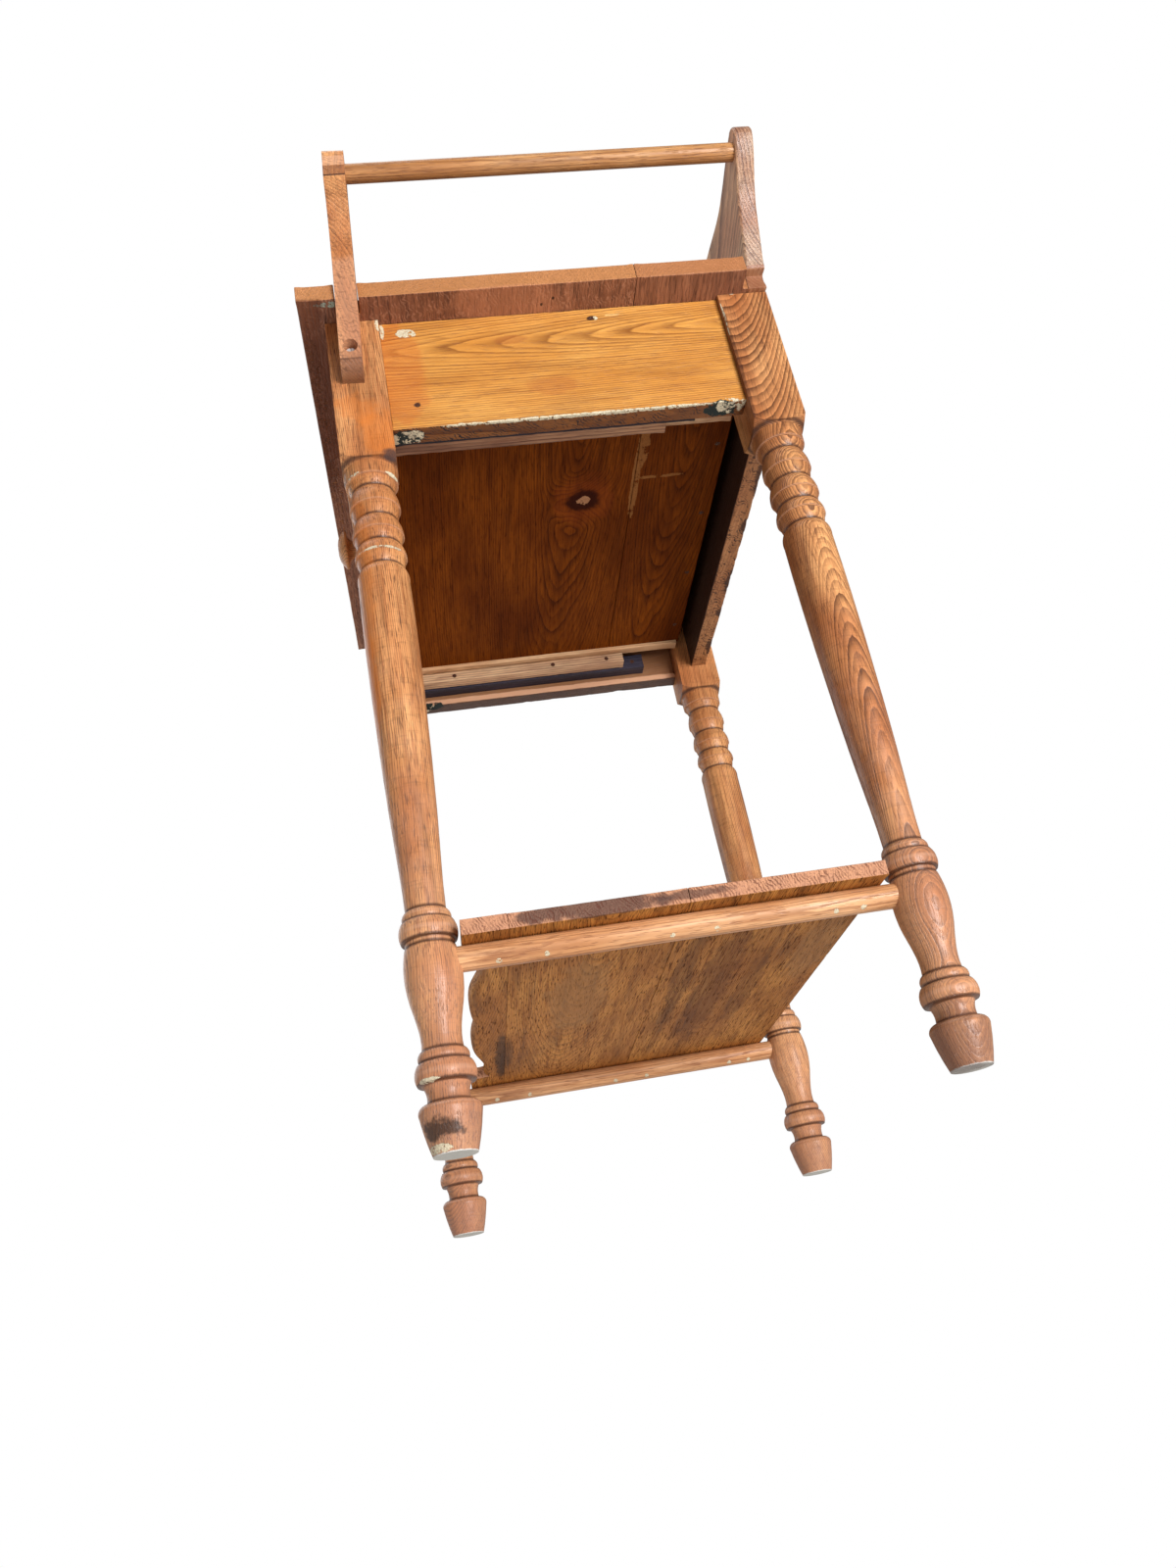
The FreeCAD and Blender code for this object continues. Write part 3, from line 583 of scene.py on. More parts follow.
def plank(node, axis, material, outline=None, side=-1, arris=0.9, chips=1.5, wobble=0.25, rough=0.0,
          wear=None, seed=1):
    """A board with worn edges in place of a straight CAD board. axis is the axis of its thickness.

    arris is the usual rounding of its edges and chips what may be gone besides, wobble is how far the
    edges wander and rough how deep the waves in the edge faces are, all in millimetres. wear(point,
    upper) is a factor on the rounding, and side the CAD face that the outline is read from.
    """
    low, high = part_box(node)
    loop = outline or outline_of(node, axis, side)
    points = traced(loop)
    inward = inward_at(points, axis)
    outer = outer_corners(loop, axis)
    rooms = [room_at(point, outer) for point in points]
    thick = high[axis] - low[axis] - 2 * INSIDE
    offset = Vector((seed * 3.1, seed * 1.7, seed * 2.3))
    radii_at = [arrises_at(point, room, offset, thick, arris, chips, wear)
                for point, room in zip(points, rooms)]
    corners = []
    for upper, share, drop in edge_levels():
        for point, into, room, radii in zip(points, inward, rooms, radii_at):
            wander = 0.5 + 0.5 * noise.noise(point * WANDER_SCALE + offset)
            sink = INSIDE + room * wobble * wander * MM
            if upper is None:
                level = radii[0] + share * (thick - radii[0] - radii[1])
                wave = noise.noise(point * WAVE_SCALE + offset * 2 + Vector([share * 2.0] * 3))
                sink += room * rough * (0.5 + 0.5 * wave) * MM
            else:
                radius = radii[upper]
                level = thick - radius * drop if upper else radius * drop
                sink += radius * share
            corner = point + into * sink
            corner[axis] = low[axis] + INSIDE + level
            corners.append(corner)
    mesh = board_mesh(node + "_board", corners, len(points))
    mesh.materials.append(material)
    piece = bpy.data.objects.new(node + "_board", mesh)
    bpy.context.scene.collection.objects.link(piece)
    normals = piece.modifiers.new("normals", "WEIGHTED_NORMAL")
    normals.keep_sharp = True
    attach(piece, BODY_OF[node])
    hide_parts(node)


def tight_at(*joints):
    """Wear that leaves a board's edges sharp where it is glued to the next one, at the given Y."""
    return lambda point, upper: 0.15 if any(abs(point.y - joint) < MM for joint in joints) else 1.0


# --- pieces ---
RIGHT = (1, 0, 0)
LEFT = (-1, 0, 0)
TO_FRONT = (0, -1, 0)
UP = (0, 0, 1)
DOWN = (0, 0, -1)

SAME_POINT = 0.001 * MM  # points of a CAD node that lie nearer than this are joined
FLAT_TURN = 0.002  # faces that turn less than this become one, in radians
BEVEL_TURN = 0.6  # edges that turn more than this are rounded, in radians


def dress(node, material):
    """Gives a CAD node its material."""
    mesh = NODES[node].data
    mesh.materials.clear()
    mesh.materials.append(material)


def soften(node, width=0.8, segments=2):
    """Rounds a CAD node's sharp edges by a width in millimetres."""
    piece = NODES[node]
    weld = piece.modifiers.new("weld", "WELD")
    weld.merge_threshold = SAME_POINT
    flat = piece.modifiers.new("flat", "DECIMATE")
    flat.decimate_type = "DISSOLVE"
    flat.angle_limit = FLAT_TURN
    bevel = piece.modifiers.new("arris", "BEVEL")
    bevel.width = width * MM
    bevel.segments = segments
    bevel.limit_method = "ANGLE"
    bevel.angle_limit = BEVEL_TURN
    bevel.use_clamp_overlap = True
    normals = piece.modifiers.new("normals", "WEIGHTED_NORMAL")
    normals.keep_sharp = False


def middle_of(node):
    low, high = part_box(node)
    return (low + high) / 2


def near(point, x, y, z):
    """A point that far from another, in millimetres along X and Y, and z millimetres above the floor."""
    return (point.x + x * MM, point.y + y * MM, z * MM)


def end_tones(tone, strength, blend="MIX"):
    """The same tone on the right and the left end of a board."""
    return [side_tone(side, tone, strength, blend) for side in (RIGHT, LEFT)]


# --- legs
# Heights of a leg's creases and of the edges of its rings, in millimetres, each with a relative width.
# The creases get painted shade, and the ring edges a pinkish painted sheen over their wear.
LEG_CREASES = ((450, 1), (472.5, 1), (497, 1), (526, 1), (549, 1), (164, 1), (156, 0.8), (142, 0.8),
               (138, 1), (67, 1), (59.5, 0.9), (45.5, 0.8), (33, 1))
LEG_EDGES = ((461, 1), (482.5, 1), (509, 1), (535, 1), (148, 2.5), (160, 1), (51.5, 3), (30, 1.5))


def leg_coats(seed):
    """What all four legs share: turning marks, a pinkish painted sheen that grows lower down, a paler and
    dirtier foot, painted shade in the creases, rubbed ring edges with a painted sheen, and a bare sole.
    """
    return [turning_marks(0.20, seed), tone_below(60, 400, PINK_SHEEN, 0.22, seed),
            tone_below(6, 42, ASHEN, 0.3, seed),
            level_lines(LEG_CREASES, DIRT_AND_SHADE, 2.3, 0.8), level_lines(LEG_EDGES, PINK_SHEEN, 0.9, 0.22),
            bare_sole()]


def dress_leg(node, pith, ring, seed, marks=(), **look):
    """A leg's wood, the wear of all legs and its own marks.

    pith is how far the heart of the tree lies from the leg's middle and ring the width of a growth ring,
    both in millimetres.
    """
    middle = middle_of(node)
    heart = (middle.x + pith[0] * MM, middle.y + pith[1] * MM)
    dress(node, wood(node, OAK, "z", heart, ring * MM, gloss=0.32, seed=seed,
                     coats=leg_coats(seed) + list(marks), **look))


def dress_leg_front_right():
    leg = middle_of("leg_front_right")
    marks = [
        # darker varnish down the column and on the square block
        stain(near(leg, 4, -19, 350), (22, 10, 75), AMBER, 0.55, seed=2),
        stain(near(leg, 12, -14, 440), (12, 10, 100), AMBER, 0.35, seed=3),
        stain(near(leg, 22, 12, 573), (4, 20, 30), AMBER, 0.5, seed=3),
        stain(near(leg, 22, -4, 600), (4, 18, 20), AMBER, 0.35, 0.9, 4.0),
        # paint on the rings, and a dark bruise over them
        flakes(near(leg, 6, 0, 461), (24, 22, 1.4), cover=0.9, seed=5),
        flakes(near(leg, 12, 18, 536), (14, 8, 2.2), cover=0.9, seed=6),
        flakes(near(leg, 16, -14, 536), (10, 8, 2), cover=0.7, seed=6.5),
        stain(near(leg, 17, 17, 552), (9, 9, 6), PURPLE, 0.85, 0.2, 6.0),
        # paint and soot on the foot
        flakes(near(leg, 15, -13, 46), (10, 12, 2.2), cover=0.9, size=1.8, seed=7),
        flakes(near(leg, 10, -10, 3.5), (14, 14, 4), cover=0.85, size=1.8, seed=8),
        stain(near(leg, 16, -8, 15), (14, 15, 9), SOOT, 0.85, 1.1, 8.0),
        # a scrap of paint under the top
        flakes(near(leg, 22, 22, 690), (3, 4, 10), cover=0.8, seed=9)]
    dress_leg("leg_front_right", (-10, 85), 1.5, 1, bow=(0.0, -0.10), bend_at=0.36, sway=0.0008,
              lines=0.75, streaks=0.8, pores=1.0, marks=marks)


def dress_leg_back_right():
    leg = middle_of("leg_back_right")
    marks = [
        # paint under the top and down the inner corner, with dirt beside it
        flakes(near(leg, 10, -10, 697), (16, 16, 1.6), cover=0.8, seed=10),
        flakes(near(leg, 22.5, -22.5, 670), (2.2, 2.2, 30), cover=0.8, seed=11),
        stain(near(leg, 22, -22, 620), (3, 3, 80), DIRT_AND_SHADE, 0.6, seed=11),
        # a darker foot
        stain(near(leg, 8, -6, 16), (34, 34, 34), tint(92, 54, 42), 0.42, 0.8, 12)]
    dress_leg("leg_back_right", (-95, -20), 1.3, 2, lean=(0.133, 0.0), bow=(0.067, 0.0), bend_at=0.5,
              sway=0.0012, ripple=0.35, lines=1.0, fade=1.0, streaks=0.45, pores=0.7, marks=marks)


def dress_left_legs():
    for node, pith, bow, bend_at, seed in (("leg_front_left", (-70, 20), (0.3, 0.0), 0.45, 3),
                                           ("leg_back_left", (-30, -80), (0.1, 0.15), 0.4, 4)):
        dress_leg(node, pith, 1.4, seed, bow=bow, bend_at=bend_at, sway=0.0008, lines=1.0, streaks=0.7)


# --- aprons
def dress_apron_right():
    low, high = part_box("apron_right")
    face = high.x
    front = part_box("leg_front_right")[1].y
    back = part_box("leg_back_right")[0].y
    marks = [
        side_tone(DOWN, tint(150, 128, 128), 0.95, "MULTIPLY"),
        saw_marks(DOWN, (1.0, 0.8, 0.0), 3.6, tint(40, 24, 22), 1.0, 12),
        stain((face, front + 0.01, 0.640), (4, 30, 70), tint(190, 92, 34), 0.40, seed=12),
        # paint along the lower arris, thicker and over dark paint at both ends
        flakes((face - 0.001, 0.02, low.z), (3.5, 180, 2.6), cover=0.85, size=1.7, seed=12),
        flakes((face - 0.010, front + 0.012, low.z), (12, 18, 5), GREEN_BLACK, 0.95, 5, 13),
        flakes((face - 0.012, front + 0.014, low.z), (12, 22, 6), cover=0.6, size=4, seed=13.5),
        flakes((face - 0.008, back - 0.022, low.z), (12, 20, 6), GREEN_BLACK, 0.85, 5, 14),
        flakes((face - 0.006, back - 0.014, low.z), (12, 20, 6), cover=0.6, size=3, seed=14.5),
        # paint in the upper corner, beside the front leg
        flakes((face, front + 0.022, high.z - 0.013), (3, 12, 7), cover=0.85, seed=15),
        flakes((face, front + 0.002, high.z - 0.010), (3, 3, 12), cover=0.7, seed=15.5),
        # a filled hole and a scratch under the top, a small hole and two darker patches
        stain((face, 0.045, high.z - 0.011), (3, 6, 3), SOOT, 0.9, seed=15),
        flakes((face, 0.048, high.z - 0.011), (3, 4, 3), cover=0.9, seed=16),
        flakes((face, 0.064, high.z - 0.009), (3, 14, 1.6), tint(240, 190, 120), 0.8, 3, 16),
        stain((face, -0.117, 0.603), (3, 4, 3), DIRT_AND_SHADE, 0.7, seed=16),
        stain((face, 0.0, 0.612), (3, 25, 12), tint(170, 96, 44), 0.45, seed=17),
        stain((face, -0.03, 0.668), (3, 20, 6), tint(160, 88, 44), 0.45, seed=18)]
    material = wood(
        "apron_right", HONEY, "y", (face - 0.018, high.z - 0.032), 2.3 * MM, lean=(0.06, 0.03),
        sway=0.003, lines=1.0, streaks=0.6, clouds=0.7, seed=11, coats=marks)

    def worn_below(point, upper):
        """The lower outer arris is worn, the others hardly."""
        return 1.0 if upper and point.z < low.z + 10 * MM else 0.3

    plank("apron_right", X, material, side=1, chips=3.4, wobble=0.3, wear=worn_below, seed=1)


def dress_apron_left():
    low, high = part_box("apron_left")
    marks = [
        # painted shade on the inner face, with a rubbed lower arris
        side_tone(RIGHT, tint(132, 90, 66), 0.85),
        stain((high.x, 0.0, low.z + 0.004), (3, 400, 4), tint(224, 170, 134), 0.85, 0.3, 17),
        side_tone(DOWN, tint(70, 46, 42), 0.92),
        saw_marks(DOWN, (1.0, 0.8, 0.0), 2.2, tint(36, 22, 20), 0.8, 17),
        # paint at the front end of the lower edge
        flakes((high.x - 0.004, low.y + 0.02, low.z), (14, 16, 6), cover=0.7, seed=18),
        flakes((high.x - 0.002, low.y + 0.03, low.z), (10, 20, 6), GREEN_BLACK, 0.8, 5, 18.5)]
    material = wood(
        "apron_left", HONEY, "y", (low.x + 0.050, low.z + 0.07), 2.5 * MM, lean=(0.10, 0.04),
        sway=0.004, lines=0.7, streaks=0.4, pores=0.4, clouds=0.6, seed=16, coats=marks)
    plank("apron_left", X, material, chips=2.5, seed=2)


def dress_apron_back():
    low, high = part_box("apron_back")
    dirt = [stain((x, high.y, low.z), (reach, 7, 7), DIRT_AND_SHADE, 0.85, 0.9, 20.0 + x)
            for x, reach in ((-0.16, 20), (-0.09, 12), (-0.03, 26), (0.06, 14), (0.13, 30))]
    marks = [
        # painted shade: the inner face, deep under the top, nearly black
        side_tone(TO_FRONT, tint(42, 21, 11), 0.98),
        side_tone(DOWN, tint(150, 98, 60), 0.6),
        saw_marks(DOWN, (1.0, 0.7, 0.0), 5.0, tint(50, 26, 16), 0.95, 20)]
    material = wood(
        "apron_back", OAK, "x", (high.y + 0.06, low.z + 0.05), 2.8 * MM, lean=(0.0, 0.15),
        sway=0.005, streaks=0.7, gloss=0.5, sheen=0.25, seed=19, coats=marks + dirt)
    plank("apron_back", Y, material, side=1, arris=1.3, chips=3.0, wobble=1.0, rough=1.0, seed=3)


# --- top
def top_board(name, pith, lean, streaks, pores, clouds, seed, coats):
    """The rough wood of a board of the top. Its pith lies at a given Y and depth below the board."""
    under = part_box(name + "_board")[0].z
    return wood(name, ROUGH_TOP, "x", (pith[0], under - pith[1]), 3.0 * MM, lean=lean, sway=0.005,
                lines=0.5, streaks=streaks, pores=pores, clouds=clouds, gloss=0.5, depth=0.5, seed=seed,
                coats=coats)


def dress_top():
    face = side_tone(UP, tint(176, 108, 60), 0.4)
    edge = tint(206, 138, 78)
    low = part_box("top_front_board")[0]
    marks = [
        side_tone(TO_FRONT, edge, 0.6),
        face,
        # saw marks and a bare patch on the underside, and two nail holes beside the front leg
        saw_marks(DOWN, (0.25, 1.0, 0.0), 3.4, tint(206, 150, 118), 0.35, 20),
        stain((0.25, -0.03, low.z), (30, 60, 4), tint(196, 130, 92), 0.4, seed=22),
        stain((0.252, 0.012, low.z), (2, 1.5, 3), SOOT, 0.9, 0.3, 22),
        stain((0.246, 0.002, low.z), (2, 1.5, 3), SOOT, 0.9, 0.3, 23),
        # green and brown paint near the front edge, and varnish that ran under it
        flakes((0.262, low.y + 0.024, low.z + 0.001), (6, 16, 2), tint(176, 186, 166), 0.6, 3, 23),
        flakes((0.10, low.y + 0.006, low.z), (220, 10, 4), tint(170, 110, 70), 0.35, 2, 24),
        stain((0.16, low.y + 0.004, low.z), (160, 24, 4), tint(96, 44, 14), 0.75, seed=24)]
    front = top_board("top_front", (-0.10, 0.05), (0.03, 0.06), 0.95, 0.9, 0.7, 21.0,
                      end_tones(edge, 0.62) + marks)
    back = top_board("top_back", (0.14, 0.03), (-0.03, 0.05), 0.9, 0.8, 0.6, 22.0,
                     end_tones(tint(188, 122, 72), 0.70) + [face])
    for name, material, seed in (("top_front_board", front, 4), ("top_back_board", back, 5)):
        plank(name, Z, material, arris=1.1, chips=1.2, wobble=0.4, wear=tight_at(TOP_JOINT), seed=seed)


def dress_splashback():
    low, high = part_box("splashback")
    # A lighter front face is painted light over the shade it stands in; the ends, which the lamps light,
    # are multiplied back down from the lightened palette.
    coats = [side_tone(TO_FRONT, tint(230, 190, 165), 0.15)]
    coats += end_tones(tint(208, 206, 214), 1.0, "MULTIPLY")
    # painted shade on the lowest part, under the overhang of the ends
    coats += [band(690.0, 715.0, tint(146, 86, 52), 0.75)]
    material = wood(
        "splashback", SPLASH, "x", (high.y + 0.12, low.z + 0.10), 3.0 * MM, lean=(0.05, 0.1), sway=0.004,
        lines=1.0, fade=1.1, streaks=0.7, pores=0.7, sheen=0.4, seed=23, coats=coats)
    plank("splashback", Y, material, arris=1.8, chips=1.2, wobble=0.4, seed=6)


# --- rails and rods
# Stretches of a bracket's edge, between two heights in millimetres, with their colour and its strength.
BRACKET_BANDS = (
    (797.0, 808.5, PINK_SHEEN, 0.35),  # the rounded head, lit
    (785.5, 797.0, tint(118, 60, 28), 0.6),  # its shaded underside
    (784.4, 786.0, DIRT_AND_SHADE, 0.95),  # painted shade in the crease below it
    (626.0, 637.0, tint(136, 78, 40), 0.45),  # the foot
    (636.2, 637.4, DIRT_AND_SHADE, 0.5),  # painted shade in the crease above it
)


def dress_brackets():
    for name, seed in (("towel_bracket_right", 31), ("towel_bracket_left", 32)):
        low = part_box(name)[0]
        # Below 728 mm the edge gets a pinkish painted sheen.
        coats = [tone_below(728, 736, PINK_SHEEN, 0.26, seed)]
        coats += [band(*row) for row in BRACKET_BANDS]
        # Towards the foot, below 650 mm, it grows darker, and it has saw marks.
        coats += [tone_below(628, 650, DIRT_AND_SHADE, 0.45, seed),
                  saw_marks((1, 0, -0.3), (0.0, 0.5, 1.0), 4.5, DIRT_AND_SHADE, 0.35, seed)]
        dress(name, wood(name, OAK, "z", (low.x - 0.02, low.y - 0.03), 2.2 * MM, bow=(0.3, 0.0),
                         bend_at=0.7, lines=0.6, seed=seed, coats=coats))


def dress_rods():
    """The towel bars, and the stretchers with their specks of paint."""
    specks = (-118.0, -85.0, 2.0, 34.0, 120.0, 140.0)
    kinds = (("towel_bar_right", BAR, (), 33), ("towel_bar_left", BAR, (), 34),
             ("stretcher_right", ROD, specks, 35), ("stretcher_left", ROD, specks, 36))
    for name, palette, places, seed in kinds:
        centre = middle_of(name)
        coats = [flakes((centre.x + 0.006, y * MM, centre.z - 0.007), (3, 3, 3), cover=0.8, seed=y)
                 for y in places]
        dress(name, wood(name, palette, "y", (centre.x + 0.03, centre.z - 0.02), 2.0 * MM, bow=(0.1, 0.3),
                         sway=0.001, streaks=0.9, pores=0.8, gloss=0.32, seed=seed, coats=coats))


# --- shelf
def dress_shelf():
    low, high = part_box("shelf_front_board")
    under = low.z
    edge = tint(206, 150, 120)
    brown = tint(84, 46, 22)
    marks = {
        "shelf_lip": [stain((-0.11, -0.112, under), (100, 8, 4), SOOT, 0.75, seed=44)],
        "shelf_front_board": [
            stain((-0.10, -0.106, under), (60, 6, 4), SOOT, 0.5, seed=45),
            stain((0.05, -0.05, under), (120, 30, 4), tint(170, 124, 76), 0.5, seed=46)],
        "shelf_back_board": [
            stain((0.02, 0.066, under), (200, 20, 4), brown, 0.45, 0.7, 47),
            stain((0.00, 0.100, under), (120, 12, 4), brown, 0.35, 0.7, 47.5),
            stain((0.06, 0.035, under), (180, 10, 4), tint(60, 32, 16), 0.40, 0.7, 47.7),
            stain((0.10, 0.14, under), (100, 20, 4), tint(164, 122, 80), 0.4, seed=48)],
    }
    # Two worn patches on the right end.
    worn = [stain((high.x, -0.052, under + 0.006), (4, 60, 10), PURPLE, 0.8, 0.9, 49),
            stain((high.x, 0.02, under + 0.006), (4, 30, 4), PURPLE, 0.7, 0.9, 49.5)]
    for name, seed, pith in (("shelf_lip", 41, -0.16), ("shelf_front_board", 42, -0.05),
                             ("shelf_back_board", 43, 0.21)):
        material = wood(
            name, SHELF, "x", (pith, under - 0.04), 1.7 * MM, lean=(0.05, 0.10), sway=0.003,
            lines=0.7, streaks=1.3, pores=1.6, gloss=0.6, depth=0.4, sheen=0.15, seed=seed,
            coats=marks[name] + end_tones(edge, 0.75) + worn + [
                saw_marks(RIGHT, (0.0, 1.0, 0.5), 2.8, tint(96, 50, 36), 0.7, seed)])
        if name == "shelf_lip":
            dress(name, material)
            soften(name, width=1.0, segments=3)
        else:
            plank(name, Z, material, arris=0.8, chips=0.8, wear=tight_at(*SHELF_JOINTS), seed=seed)


# --- drawer
def dress_drawer_bottom():
    """Two dark boards, with a knot in the front one and filler in the joint between them."""
    low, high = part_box("drawer_bottom_front")
    joint = high.y
    knot = (0.086, 0.034, low.z)
    marks = {
        "drawer_bottom_front": [
            stain(knot, (42, 36, 4), tint(150, 66, 26), 0.22, 0.7, 55),
            stain(knot, (21, 19, 4), tint(44, 13, 6), 0.92, 0.5, 56),
            flakes(knot, (9, 8, 3), tint(176, 124, 88), 1.0, 5, 57),
            flakes((0.110, joint - 0.001, low.z), (75, 3, 3), FILLER, 0.95, 8, 58)],
        "drawer_bottom_back": [
            flakes((0.100, joint + 0.002, low.z), (80, 4, 3), FILLER, 0.95, 8, 58),
            flakes((0.160, joint + 0.004, low.z), (50, 8, 3), FILLER, 1.0, 8, 58),
            flakes((0.112, joint + 0.024, low.z), (3.5, 30, 3), FILLER, 0.9, 5, 59)],
    }
    for name, seed, pith in (("drawer_bottom_front", 51, 0.02), ("drawer_bottom_back", 52, 0.125)):
        material = wood(
            name, PANEL, "x", (pith, low.z - 0.03), 2.2 * MM, lean=(0.03, 0.08), sway=0.006,
            lines=0.85, streaks=0.8, pores=0.7, gloss=0.6, sheen=0.03, knots=((knot, 0.030, 0.016),),
            seed=seed, coats=marks[name])
        plank(name, Z, material, arris=0.6, chips=0.8, seed=seed)


def dress_drawer_sides():
    """The pale wood inside, at both sides and at the back."""
    for name, seed in (("drawer_side_right", 53), ("drawer_side_left", 54)):
        centre = middle_of(name)
        material = wood(name, INNER, "y", (centre.x, centre.z - 0.06), 2.4 * MM, seed=seed)
        plank(name, X, material, outline=rectangle(name, X), arris=1.2, chips=0.8, seed=seed)
    centre = middle_of("drawer_back")
    material = wood("drawer_back", INNER, "x", (centre.y - 0.04, centre.z), 2.4 * MM, seed=55)
    plank("drawer_back", Y, material, seed=55)


def dress_front():
    """The drawer's front and knob, and the rails over and under it."""
    for name, seed in (("drawer_front", 56), ("front_rail_lower", 57), ("front_rail_upper", 58)):
        low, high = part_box(name)
        material = wood(
            name, OAK, "x", (low.y + 0.06, (low.z + high.z) / 2 + 0.01), 2.4 * MM,
            lean=(0.06, 0.05), sway=0.004, seed=seed)
        if name == "drawer_front":
            dress(name, material)
            soften(name)
        else:
            plank(name, Y, material, chips=0.8, seed=seed)
    centre = middle_of("drawer_knob")
    pith = (centre.x + 0.01, centre.z)
    dress("drawer_knob", wood("drawer_knob", OAK, "y", pith, 2.0 * MM, seed=59))


def dress_slides():
    """The strips that the drawer slides on, with paint near their front ends."""
    kinds = (("guide", GUIDE, X, 61), ("runner", RUNNER, X, 63), ("kicker", INNER, Z, 65))
    reach = (30, 16, 6)
    # The undersides get a multiplied tone as painted shade: strong on the right strips, hardly any on the
    # left ones, which face the light.
    for side, turn, under in (("right", -1, tint(205, 180, 172)), ("left", 1, tint(250, 240, 236))):
        for part, palette, axis, first_seed in kinds:
            name = "drawer_" + part + "_" + side
            seed = first_seed + turn
            centre = middle_of(name)
            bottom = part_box(name)[0].z
            material = wood(
                name, palette, "y", (centre.x + 0.02, centre.z + 0.02), 2.6 * MM, lines=1.0,
                streaks=0.9, gloss=0.5, seed=seed, coats=[
                    side_tone(DOWN, under, 0.95, "MULTIPLY"),
                    flakes((centre.x, FRONT + 0.030, bottom), reach, GREEN_BLACK, 0.8, 4, first_seed),
                    flakes((centre.x, FRONT + 0.028, bottom), reach, CHALK, 0.5, 3, first_seed + 1)])
            plank(name, axis, material, side=turn if axis == X else -1, arris=0.8, chips=1.6, wobble=0.5,
                  seed=seed)


# --- fasteners
def metal(name, bright, dull, gloss, rust, metallic):
    """Old steel or iron with patches of rust."""
    paint = Paint(bpy.data.materials.new(name))
    place = paint.place()
    patch = paint.ramp(paint.noise(place, 700.0, 4.0, 0.6), 0.62 - 0.3 * rust, 0.74 - 0.3 * rust)
    grain = paint.noise(place, 2500.0)
    colour = paint.mix(patch, paint.mix(grain, bright, dull), tint(88, 52, 36))
    rough = paint.math("MULTIPLY_ADD", patch, 0.35, gloss)
    return paint.finish(colour, rough, grain, 0.05 * MM, Metallic=metallic)


def dress_fasteners():
    iron = metal("nail_iron_metal", tint(120, 112, 106), tint(78, 70, 66), 0.45, 0.9, 0.7)
    steel = metal("screw_steel_metal", tint(216, 216, 216), tint(170, 168, 166), 0.4, 0.15, 0.3)
    for node in NODES:
        if node.endswith("_nails"):
            dress(node, iron)
        if node.endswith("_screws"):
            dress(node, steel)


# --- stage ---
FLOOR_SIZE = 8.0
FLOOR_GAP = 0.4 * MM  # how far the floor lies under the feet
FLOOR_GLOW = 0.38  # its own light, which keeps it near white
SKY_STRENGTH = 0.15

# The camera's focal length in millimetres, its place, and the directions to its right and ahead of it.
FOCAL_LENGTH = 28.205
CAMERA_PLACE = (1.0204, -0.1583, -0.1365)
CAMERA_RIGHT = (0.0689, 0.9826, -0.1738)
CAMERA_AHEAD = (-0.894, 0.138, 0.426)

COOL_WHITE = (0.97, 0.98, 1.0)
WHITE = (1.0, 1.0, 1.0)
BLUE_WHITE = (0.93, 0.96, 1.0)

# Each lamp: the direction it shines from, its distance, size and power, and its colour.
LAMPS = {
    "key": ((1.0, 0.50, -0.12), 3.4, 1.4, 134.0, COOL_WHITE),
    "above": ((0.2, -0.3, 1.0), 2.6, 2.2, 30.0, WHITE),
    "fill": ((-0.8, -0.7, 0.4), 2.8, 2.0, 20.0, BLUE_WHITE),
}


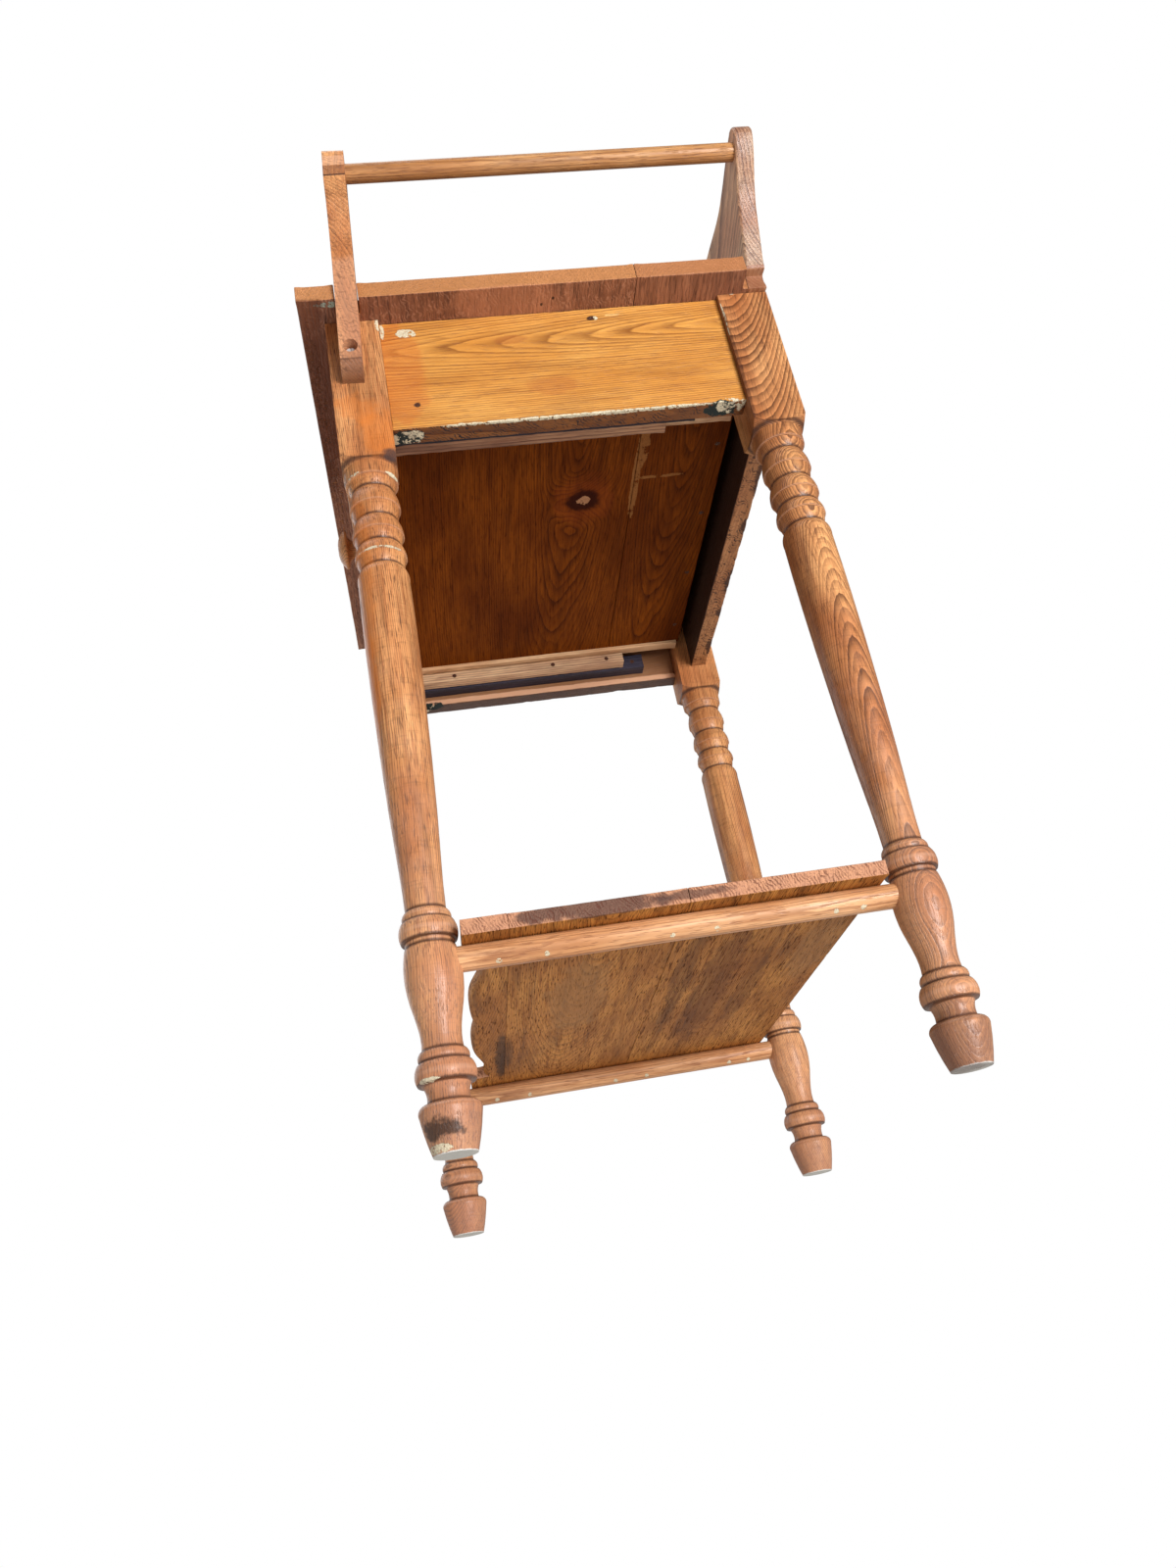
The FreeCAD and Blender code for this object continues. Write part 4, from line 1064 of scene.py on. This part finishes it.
def floor():
    """A pale floor. It isn't drawn from below, where the camera stands, and it lets light by."""
    bpy.ops.mesh.primitive_plane_add(size=FLOOR_SIZE, location=(0, 0, -FLOOR_GAP))
    plane = bpy.context.object
    plane.name = "floor"
    paint = Paint(bpy.data.materials.new("floor_pale"))
    geometry = paint.add("ShaderNodeNewGeometry")
    path = paint.add("ShaderNodeLightPath")
    matt = paint.add("ShaderNodeBsdfPrincipled", Base_Color=(0.62, 0.61, 0.60, 1.0), Roughness=0.8,
                     Emission_Color=(1.0, 0.98, 0.96, 1.0), Emission_Strength=FLOOR_GLOW)
    clear = paint.add("ShaderNodeBsdfTransparent")
    unseen = paint.math("MAXIMUM", geometry.outputs["Backfacing"], path.outputs["Is Shadow Ray"])
    paint.either(unseen, matt, clear, "ShaderNodeOutputMaterial")
    plane.data.materials.append(paint.owner)


def world():
    """White to the camera, and a softer light on the object."""
    paint = Paint(bpy.data.worlds.new("studio"))
    bpy.context.scene.world = paint.owner
    path = paint.add("ShaderNodeLightPath")
    lit = paint.add("ShaderNodeBackground", Color=(0.92, 0.95, 1.0, 1.0), Strength=SKY_STRENGTH)
    seen = paint.add("ShaderNodeBackground", Color=(1.0, 1.0, 1.0, 1.0))
    paint.either(path.outputs["Is Camera Ray"], lit, seen, "ShaderNodeOutputWorld")


def lamp(name, direction, distance, size, power, colour):
    """A large square lamp that looks at the middle of the stand."""
    data = bpy.data.lights.new(name, "AREA")
    data.size = size
    data.energy = power
    data.color = colour
    made = bpy.data.objects.new(name, data)
    bpy.context.scene.collection.objects.link(made)
    toward = Vector(direction).normalized()
    made.location = MIDDLE + toward * distance
    made.rotation_euler = (-toward).to_track_quat("-Z", "Y").to_euler()


def camera():
    """Low at the right-hand side, a little under floor level, looking up, and turned on its side."""
    data = bpy.data.cameras.new("camera")
    data.sensor_width = 36.0
    data.lens = FOCAL_LENGTH
    ahead = Vector(CAMERA_AHEAD).normalized()
    up = Vector(CAMERA_RIGHT).normalized().cross(ahead).normalized()
    turn = Matrix((ahead.cross(up), up, -ahead)).transposed().to_4x4()
    turn.translation = Vector(CAMERA_PLACE)
    made = bpy.data.objects.new("camera", data)
    bpy.context.scene.collection.objects.link(made)
    made.matrix_world = turn
    bpy.context.scene.camera = made


def main():
    bpy.context.scene.view_settings.view_transform = "Standard"
    camera()
    world()
    floor()
    for name, settings in LAMPS.items():
        lamp(name, *settings)
    dress_leg_front_right()
    dress_leg_back_right()
    dress_left_legs()
    dress_apron_right()
    dress_apron_left()
    dress_apron_back()
    dress_top()
    dress_splashback()
    dress_brackets()
    dress_rods()
    dress_shelf()
    dress_drawer_bottom()
    dress_drawer_sides()
    dress_front()
    dress_slides()
    dress_fasteners()
    for node in NODES:
        if node.startswith(("leg_", "towel_", "stretcher_")) or node == "drawer_knob":
            soften(node)


main()
